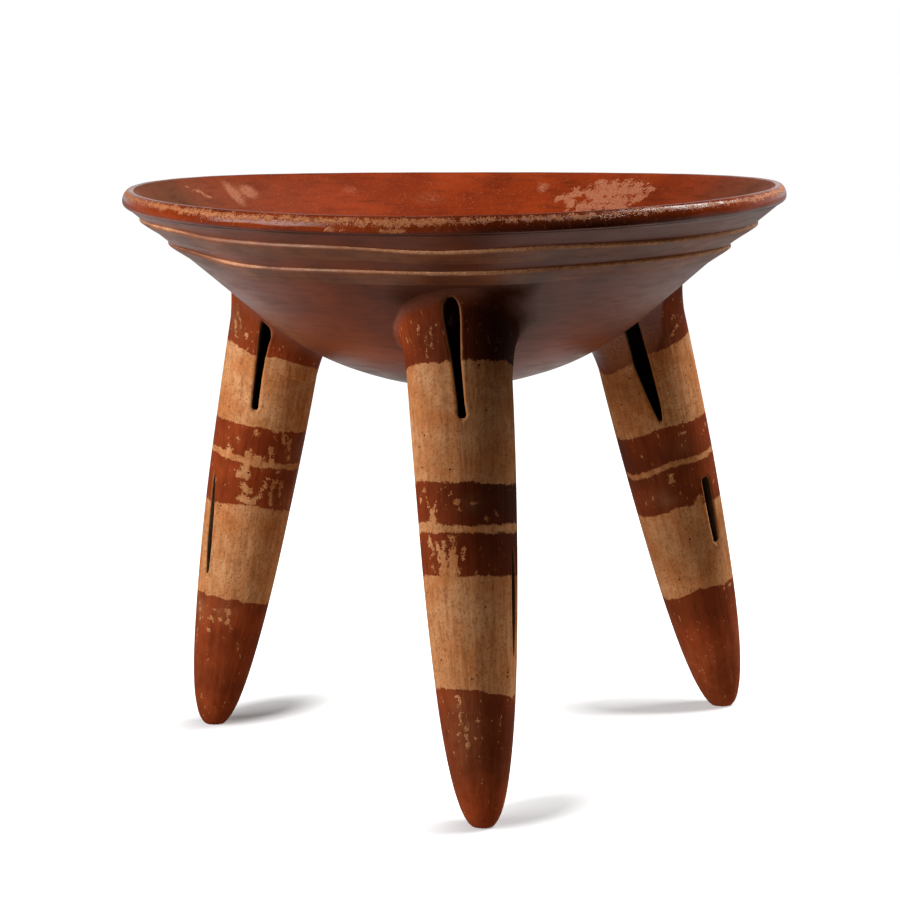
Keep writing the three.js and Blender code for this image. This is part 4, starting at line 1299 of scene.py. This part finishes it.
def leg_marks(name, points, foot, axes, up, turn, radius, edge, unseen, slipped=None):
    """The marks of a painted piece: its place in the leg's own directions, the levelled
    height, wear, smoked clouds and painted shade, flush, dust, the distance to a slit, and how
    far the bowl's slip covers it. Where it does, the bowl's own smoked clouds, painted shade
    and flush hold. Unseen points get plain values."""
    marks = {
        "slipped": np.zeros(np.shape(up)) if slipped is None else slipped + 0 * up,
        "paint": paint_height(name, turn, up),
        "worn_and_lit_mm": rubbed(turn, up, radius, LEG_RUBS[name]),
        "soot_shade_and_sheen": clouded(turn, up, radius, LEG_SOOT_AND_SHADE[name]),
        "flush": clouded(turn, up, radius, LEG_FLUSH[name]),
        "dusting": clouded(turn, up, radius, LEG_DUST[name]),
        "slit_mm": edge,
    }
    if slipped is not None:
        skin = points[: up.size].reshape(*up.shape, 3)
        for mark, clouds in (("soot_shade_and_sheen", OUTSIDE_SOOT_AND_SHADE), ("flush", OUTSIDE_FLUSH)):
            marks[mark] = marks[mark] * (1 - slipped) + bowl_clouds(skin, clouds) * slipped
    filled = {m: np.concatenate([v.ravel(), np.full(unseen, UNSEEN[m])]) for m, v in marks.items()}
    return {"leg_mm": (points - foot) @ axes, **filled}


def make_leg(name):
    """Builds one leg: skin from its tip, hollow from the solid tip, slit walls and rim."""
    foot, axes, up, skin, hollow, skin_turn, inner_turn, edge, homes = leg_tube(name)
    places = on_leg(foot, axes, skin_turn, skin, up)
    places[..., 2] = np.maximum(places[..., 2], 0)
    first = int(np.argmax(up[:, 0] >= SLEEVE_START))
    deep = HOLLOW_TIP_ROWS[:-1, None] + 0 * up[:1]
    deep_turn = np.broadcast_to(inner_turn[first], deep.shape)
    inner_up = np.concatenate([deep, up[first:]])
    inner_radius = np.concatenate([leg_hollow(LEGS[name], deep), hollow[first:]])
    inner_turns = np.concatenate([deep_turn, inner_turn[first:]])
    inner_places = on_leg(foot, axes, inner_turns, inner_radius, inner_up)
    poles = on_leg(foot, axes, np.zeros(2), np.zeros(2), np.array([-FOOT_WEAR, TIP_SOLID]))
    poles[:, 2] = np.maximum(poles[:, 2], 0)
    points = np.concatenate([places.reshape(-1, 3), inner_places.reshape(-1, 3), poles])
    skin_index = np.arange(up.size).reshape(up.shape)
    inner_index = up.size + np.arange(inner_up.size).reshape(inner_up.shape)
    slits = []
    for kind, home in homes.items():
        bottom, top = SLITS[name][kind][0][0], SLITS[name][kind][-1][0]
        column = column_at(home)
        middle = up[first:, column]
        low = int(np.argmax(middle >= bottom))
        high = len(middle) - 1 if top > middle[-1] else int(np.argmax(middle >= top))
        slits.append((column, low, high))
    face_out, face_in, walls, rim, _ = sleeve(skin_index[first:], inner_index[len(deep) :], slits)
    below = across(first + 1, LEG_SIDES).reshape(-1, 4)
    deep_faces = across(len(deep) + 1, LEG_SIDES).reshape(-1, 4)[:, ::-1] + up.size
    ring = np.arange(LEG_SIDES)
    tip = fan(len(points) - 2, ring)
    hollow_tip = fan(len(points) - 1, ring + up.size, outward=False)
    face_sets = [below, face_out, tip, face_in, walls, rim, deep_faces, hollow_tip]
    marks = leg_marks(name, points, foot, axes, up, skin_turn, skin, edge, inner_up.size + 2)
    for mark in ("paint", "soot_shade_and_sheen"):
        marks[mark][-2] = marks[mark][0]
    finishes = [leg_paint, raw_clay]
    made = into_mesh(f"{name}_leg_tube", points, face_sets, marks, finishes, [0, 0, 0, 1, 1, 1, 1, 1])
    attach(made, "root")
    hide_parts(f"{name}_leg")


for name in LEGS:
    make_leg(name)

# %% [markdown]
# ## The collars
# A coil was pressed round each root and smoothed both ways, so the leg flares into the bowl
# in a hollow curve. At every turn its section starts just inside the leg's skin, leaves it
# upright, bends outwards in one smooth curve, and ends a little under the bowl's own face.
# The root slit is cut through it, up to the slit's top. The bowl's slip was brushed over the
# coil and down to an uneven line, where the leg's own paint begins.

# %% The three collars
COLLAR_HEIGHT = 19.0
COLLAR_UPRIGHT = 6.0  # how near to the bowl the section is still drawn along the leg
COLLAR_START = 0.25  # how far inside the leg's skin the section starts
COLLAR_BODY = 0.8
COLLAR_BURIED = 0.3
COLLAR_BACK = 1.2
SLIP_FADE = 0.25
COLLAR_FLARES = {  # how far out each collar spreads, at a few turns round its leg
    "front": ((-90, 3.0), (-30, 5.0), (0, 6.5), (70, 6.5), (180, 9.0)),
    "left": ((-90, 9.0), (0, 8.5), (90, 9.5), (180, 9.0)),
    "right": ((-90, 9.0), (0, 9.0), (180, 9.0)),
}
COLLAR_SLIP = {  # the share of the section from which the bowl's slip covers the leg's paint
    "front": ((-90, 0.6), (0, 0.5), (60, 0.4)),
    "left": ((0, 0.3),),
    "right": ((0, 0.6), (60, 0.3), (-180, 0), (-102, 0), (-88, 1.2), (-20, 1.2)),
}


def make_collar(name):
    """Builds one collar: its skin by the section above, and a back buried in leg and bowl."""
    leg, slit = LEGS[name], SLITS[name]["root"]
    foot, axes = leg_axes(leg)
    turn = (np.arange(LEG_SIDES) * LEG_STEP)[None, :]
    share = np.linspace(0, 1, 48)[:, None]
    girth = LEG_RADIUS * leg["girth"]
    flare = np.interp(turn, *zip(*COLLAR_FLARES[name]), period=360)
    section = bezier([[0, COLLAR_HEIGHT], [0, COLLAR_UPRIGHT], [0.33, 0], [1, 0]], share[:, 0])
    radius = girth - COLLAR_START + COLLAR_BODY * (1 - np.exp(-5 * share)) + flare * section[:, :1]
    below = section[:, 1:] - COLLAR_BURIED * share**3
    even_turn = np.broadcast_to(turn, radius.shape)
    up = up_to_bowl(foot, axes, *round_axis(radius, even_turn)) - below
    skin_turn, home = parted(even_turn, up, radius, slit, LEG_STEP, PARTED_REACH["root"])
    up = up_to_bowl(foot, axes, *round_axis(radius, skin_turn)) - below
    edge = slit_edge(skin_turn, up, radius, slit)
    swell = hand_swell(skin_turn, up, 0.12) * np.sin(share * math.pi)
    skin = radius + slit_burr(edge) * np.clip(1.4 - share, 0, 1) + swell
    back = np.full(radius.shape, girth - COLLAR_BACK)
    back_turn, _ = parted(even_turn, up, back, slit, LEG_STEP, PARTED_REACH["root"])
    places = on_leg(foot, axes, skin_turn, skin, up)
    behind = on_leg(foot, axes, back_turn, back, up - 0.2 + COLLAR_BACK * share)
    points = np.concatenate([places.reshape(-1, 3), behind.reshape(-1, 3)])
    skin_index = np.arange(up.size).reshape(up.shape)
    column = column_at(home)
    slit_top = int(np.argmax(up[:, column] >= slit[-1][0])) or len(share) - 1
    face_sets = sleeve(skin_index, skin_index + up.size, [(column, 0, slit_top)])
    slip_begins = np.interp(skin_turn, *zip(*COLLAR_SLIP[name]), period=360)
    slipped = np.clip((share - slip_begins) / SLIP_FADE, 0, 1)
    marks = leg_marks(name, points, foot, axes, up, skin_turn, radius, edge, up.size, slipped)
    made = into_mesh(f"{name}_collar_coil", points, face_sets, marks, [leg_paint, raw_clay], [0, 1, 1, 1, 1])
    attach(made, "root")
    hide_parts(f"{name}_leg_collar")


for name in LEGS:
    make_collar(name)

# %% [markdown]
# ## The pellets
# Three fired balls of clay lie in each leg, where the hollow grows too narrow for them. They
# were rolled between finger and palm, so each is slightly lumpy. They stay inside the
# spheres of the solid model, and each one rides on its own body, because they rattle.

# %% Nine pellets
PELLET_RADIUS = 4.0
PELLET_SIDES, PELLET_ROWS = 40, 20
POLE_SHARE = 0.95


def make_pellet(node, lumps):
    """A ball on a grid of longitude and latitude, a little smaller than its sphere and
    dimpled by two slow waves."""
    low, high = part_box(node)
    middle = (np.array(low) + np.array(high)) * 500
    longitude = np.linspace(0, 2 * math.pi, PELLET_SIDES, endpoint=False)[None, :]
    latitude = np.linspace(-math.pi / 2, math.pi / 2, PELLET_ROWS + 2)[1:-1, None]
    round_lumps = 0.018 * np.sin(3 * longitude + lumps) * np.cos(latitude) ** 2
    radius = PELLET_RADIUS * (0.955 + round_lumps + 0.014 * np.cos(4 * latitude + lumps))
    x = radius * np.cos(latitude) * np.cos(longitude)
    y = radius * np.cos(latitude) * np.sin(longitude)
    ball = np.stack([x, y, radius * np.sin(latitude)], -1)
    tips = np.array([[0, 0, -POLE_SHARE * PELLET_RADIUS], [0, 0, POLE_SHARE * PELLET_RADIUS]])
    points = np.concatenate([ball.reshape(-1, 3), tips]) + middle
    ring = np.arange(PELLET_SIDES)
    size = PELLET_ROWS * PELLET_SIDES
    face_sets = [
        across(PELLET_ROWS, PELLET_SIDES).reshape(-1, 4),
        fan(size, ring),
        fan(size + 1, ring + size - PELLET_SIDES, outward=False),
    ]
    made = into_mesh(f"{node}_ball", points, face_sets, {}, [pellet_clay])
    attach(made, frame["nodes"][node]["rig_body"])
    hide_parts(node)


for count, node in enumerate(sorted(n for n in frame["nodes"] if "_pellet_" in n)):
    make_pellet(node, 1.7 * count)

# %% [markdown]
# ## The floor
# The pot stands on a white floor that runs out of sight. A soft pool of shade lies beside
# each foot: a long oval that is dark in the middle and fades out to white. The pot itself
# gets a dimmer, warmer light from the floor than the camera sees. It is strongest away from
# the middle, and weaker in front and on the right, so the underside stays dark.

# %% The floor
FLOOR_SIZE = 9.0
CLAY_BOUNCE = (0.62, 0.5, 0.37, 1)
WHITE = (1, 1, 1, 1)
POOL_SHAPE = (0.42, 1, 1)
SHADOW_POOLS = {  # turn of the shade, distance to its middle, its dark and its full reach, light left in it
    "front": (50, 0.024, 0.008, 0.028, 0.1),
    "left": (50, 0.026, 0.007, 0.024, 0.04),
    "right": (182, 0.024, 0.012, 0.028, 0.32),
}
corners = [(x * FLOOR_SIZE, y * FLOOR_SIZE, 0) for x, y in ((-1, -1), (1, -1), (1, 1), (-1, 1))]
stage_floor = bpy.data.meshes.new("floor")
stage_floor.from_pydata(corners, [], [(0, 1, 2, 3)])
floor_object = bpy.data.objects.new("floor", stage_floor)
bpy.context.scene.collection.objects.link(floor_object)
floor_finish, tree = new_finish("white_floor")
place = add_node(tree, "TexCoord").outputs["Object"]
glow = 1.0
for name, (turn, away, dark_reach, full_reach, least) in SHADOW_POOLS.items():
    foot, _ = leg_axes(LEGS[name])
    turn = math.radians(turn)
    middle = foot / 1000 + away * np.array([math.cos(turn), math.sin(turn), 0])
    beside = add_node(tree, "VectorMath", {0: place, 1: tuple(middle)}, operation="SUBTRACT")
    along = add_node(tree, "VectorRotate", {"Vector": beside, "Angle": -turn}, rotation_type="Z_AXIS")
    drawn_in = add_node(tree, "VectorMath", {0: along, 1: POOL_SHAPE}, operation="MULTIPLY")
    off = add_node(tree, "VectorMath", {0: drawn_in, 1: (0, 0, 0)}, operation="DISTANCE")
    pool = add_node(tree, "MapRange", {0: off, 1: dark_reach, 2: full_reach, 3: least, 4: 1.0})
    glow = add_node(tree, "Math", {0: pool, 1: glow}, operation="MINIMUM")
paper = add_node(tree, "BsdfDiffuse", {"Color": (0.62, 0.655, 0.705, 1)})
light = add_node(tree, "Emission", {"Color": WHITE, "Strength": glow})
white = add_node(tree, "AddShader", {0: paper, 1: light})
path = add_node(tree, "LightPath")
diffuse_ray = path.outputs["Is Diffuse Ray"]
greys = {0: diffuse_ray, 6: (0.14, 0.14, 0.14, 1), 7: (0.16, 0.115, 0.07, 1)}
dull = add_node(tree, "Mix", greys, data_type="RGBA")
dull_paper = add_node(tree, "BsdfDiffuse", {"Color": dull})
beside = add_node(tree, "SeparateXYZ", {0: place})
reach = add_node(tree, "VectorMath", {0: place, 1: (-0.08, 0, 0)}, operation="DISTANCE")
mirrored = add_node(tree, "MapRange", {0: reach, 1: 0.0, 2: 0.34, 3: 0.03, 4: 0.5})
far_left = add_node(tree, "MapRange", {0: beside.outputs["X"], 1: -0.5, 2: -0.25, 3: 0.35, 4: 1.0})
mirrored = add_node(tree, "Math", {0: mirrored, 1: far_left}, operation="MULTIPLY")
filling = add_node(tree, "MapRange", {0: reach, 1: 0.0, 2: 0.2, 3: 0.5, 4: 0.6})
round_glow = add_node(tree, "Mix", {0: diffuse_ray, 2: mirrored, 3: filling})
ahead = add_node(tree, "MapRange", {0: beside.outputs["Y"], 1: -0.32, 2: -0.08, 3: 0.15, 4: 1.0})
right = add_node(tree, "MapRange", {0: beside.outputs["X"], 1: 0.12, 2: 0.18, 3: 1.15, 4: 0.65})
round_glow = add_node(tree, "Math", {0: round_glow, 1: ahead}, operation="MULTIPLY")
round_glow = add_node(tree, "Math", {0: round_glow, 1: right}, operation="MULTIPLY")
tint = add_node(tree, "Mix", {0: diffuse_ray, 6: WHITE, 7: CLAY_BOUNCE}, data_type="RGBA")
lit = add_node(tree, "Emission", {"Color": tint, "Strength": round_glow})
plain_paper = add_node(tree, "AddShader", {0: dull_paper, 1: lit})
floor_mix = add_node(tree, "MixShader", {0: path.outputs["Is Camera Ray"], 1: plain_paper, 2: white})
add_node(tree, "OutputMaterial", {"Surface": floor_mix})
stage_floor.materials.append(floor_finish)
print("soft pools of shade on the floor:", len(SHADOW_POOLS))


# %% [markdown]
# ## The lights
# A soft box stands low on the left, and a larger and stronger one high on the right. They
# draw long soft highlights down the polished slip, and the high one also fills the bowl. The
# sky is white for the camera. For the pot it is brightest behind and near the horizon, and
# dim in front and on the far left, so the front of the bowl stays darker than its sides.

# %% The lights
WARM_LAMP = (1, 0.95, 0.88)
CLAY_SKY = (0.6, 0.45, 0.28, 1)
AIM = (0, 0, 0.14)


def soft_box(name, place, width, height, power):
    """A rectangular light that faces the middle of the pot."""
    data = bpy.data.lights.new(name, "AREA")
    data.shape = "RECTANGLE"
    data.size, data.size_y = width, height
    data.energy = power
    data.color = WARM_LAMP
    lamp = bpy.data.objects.new(name, data)
    back = np.array(place, float) - np.array(AIM, float)
    turn = math.atan2(back[0], -back[1])
    tilt = math.atan2(math.hypot(back[0], back[1]), back[2])
    lamp.location = place
    lamp.rotation_euler = (tilt, 0, turn)
    bpy.context.scene.collection.objects.link(lamp)


soft_box("key_box", (-0.51, -0.27, 0.35), 0.45, 0.3, 4.2)
soft_box("side_box", (0.57, 0.13, 0.72), 0.4, 0.45, 9.5)

# %% The sky
world = bpy.data.worlds.new("studio")
bpy.context.scene.world = world
world.use_nodes = True
tree = world.node_tree
background = tree.nodes["Background"]
path = add_node(tree, "LightPath")
way = add_node(tree, "TexCoord").outputs["Generated"]
way = add_node(tree, "SeparateXYZ", {0: way})
backdrop = add_node(tree, "MapRange", {0: way.outputs["Y"], 1: 0.2, 2: 0.8, 3: 0.02, 4: 0.7})
lower = add_node(tree, "MapRange", {0: way.outputs["Z"], 1: 0.6, 2: 0.2, 3: 0.05, 4: 1.0})
dim = add_node(tree, "Math", {0: backdrop, 1: lower}, operation="MULTIPLY")
left_side = add_node(tree, "MapRange", {0: way.outputs["X"], 1: -0.8, 2: -0.3, 3: 0.12, 4: 1.0})
dim = add_node(tree, "Math", {0: dim, 1: left_side}, operation="MULTIPLY")
strength = add_node(tree, "Mix", {0: path.outputs["Is Camera Ray"], 2: dim, 3: 1.0})
tint = add_node(tree, "Mix", {0: path.outputs["Is Diffuse Ray"], 6: WHITE, 7: CLAY_SKY}, data_type="RGBA")
tree.links.new(tint.outputs[2], background.inputs[0])
tree.links.new(strength.outputs[0], background.inputs[1])
bpy.context.scene.view_settings.view_transform = "Standard"
print("the sky's nodes:", len(tree.nodes))
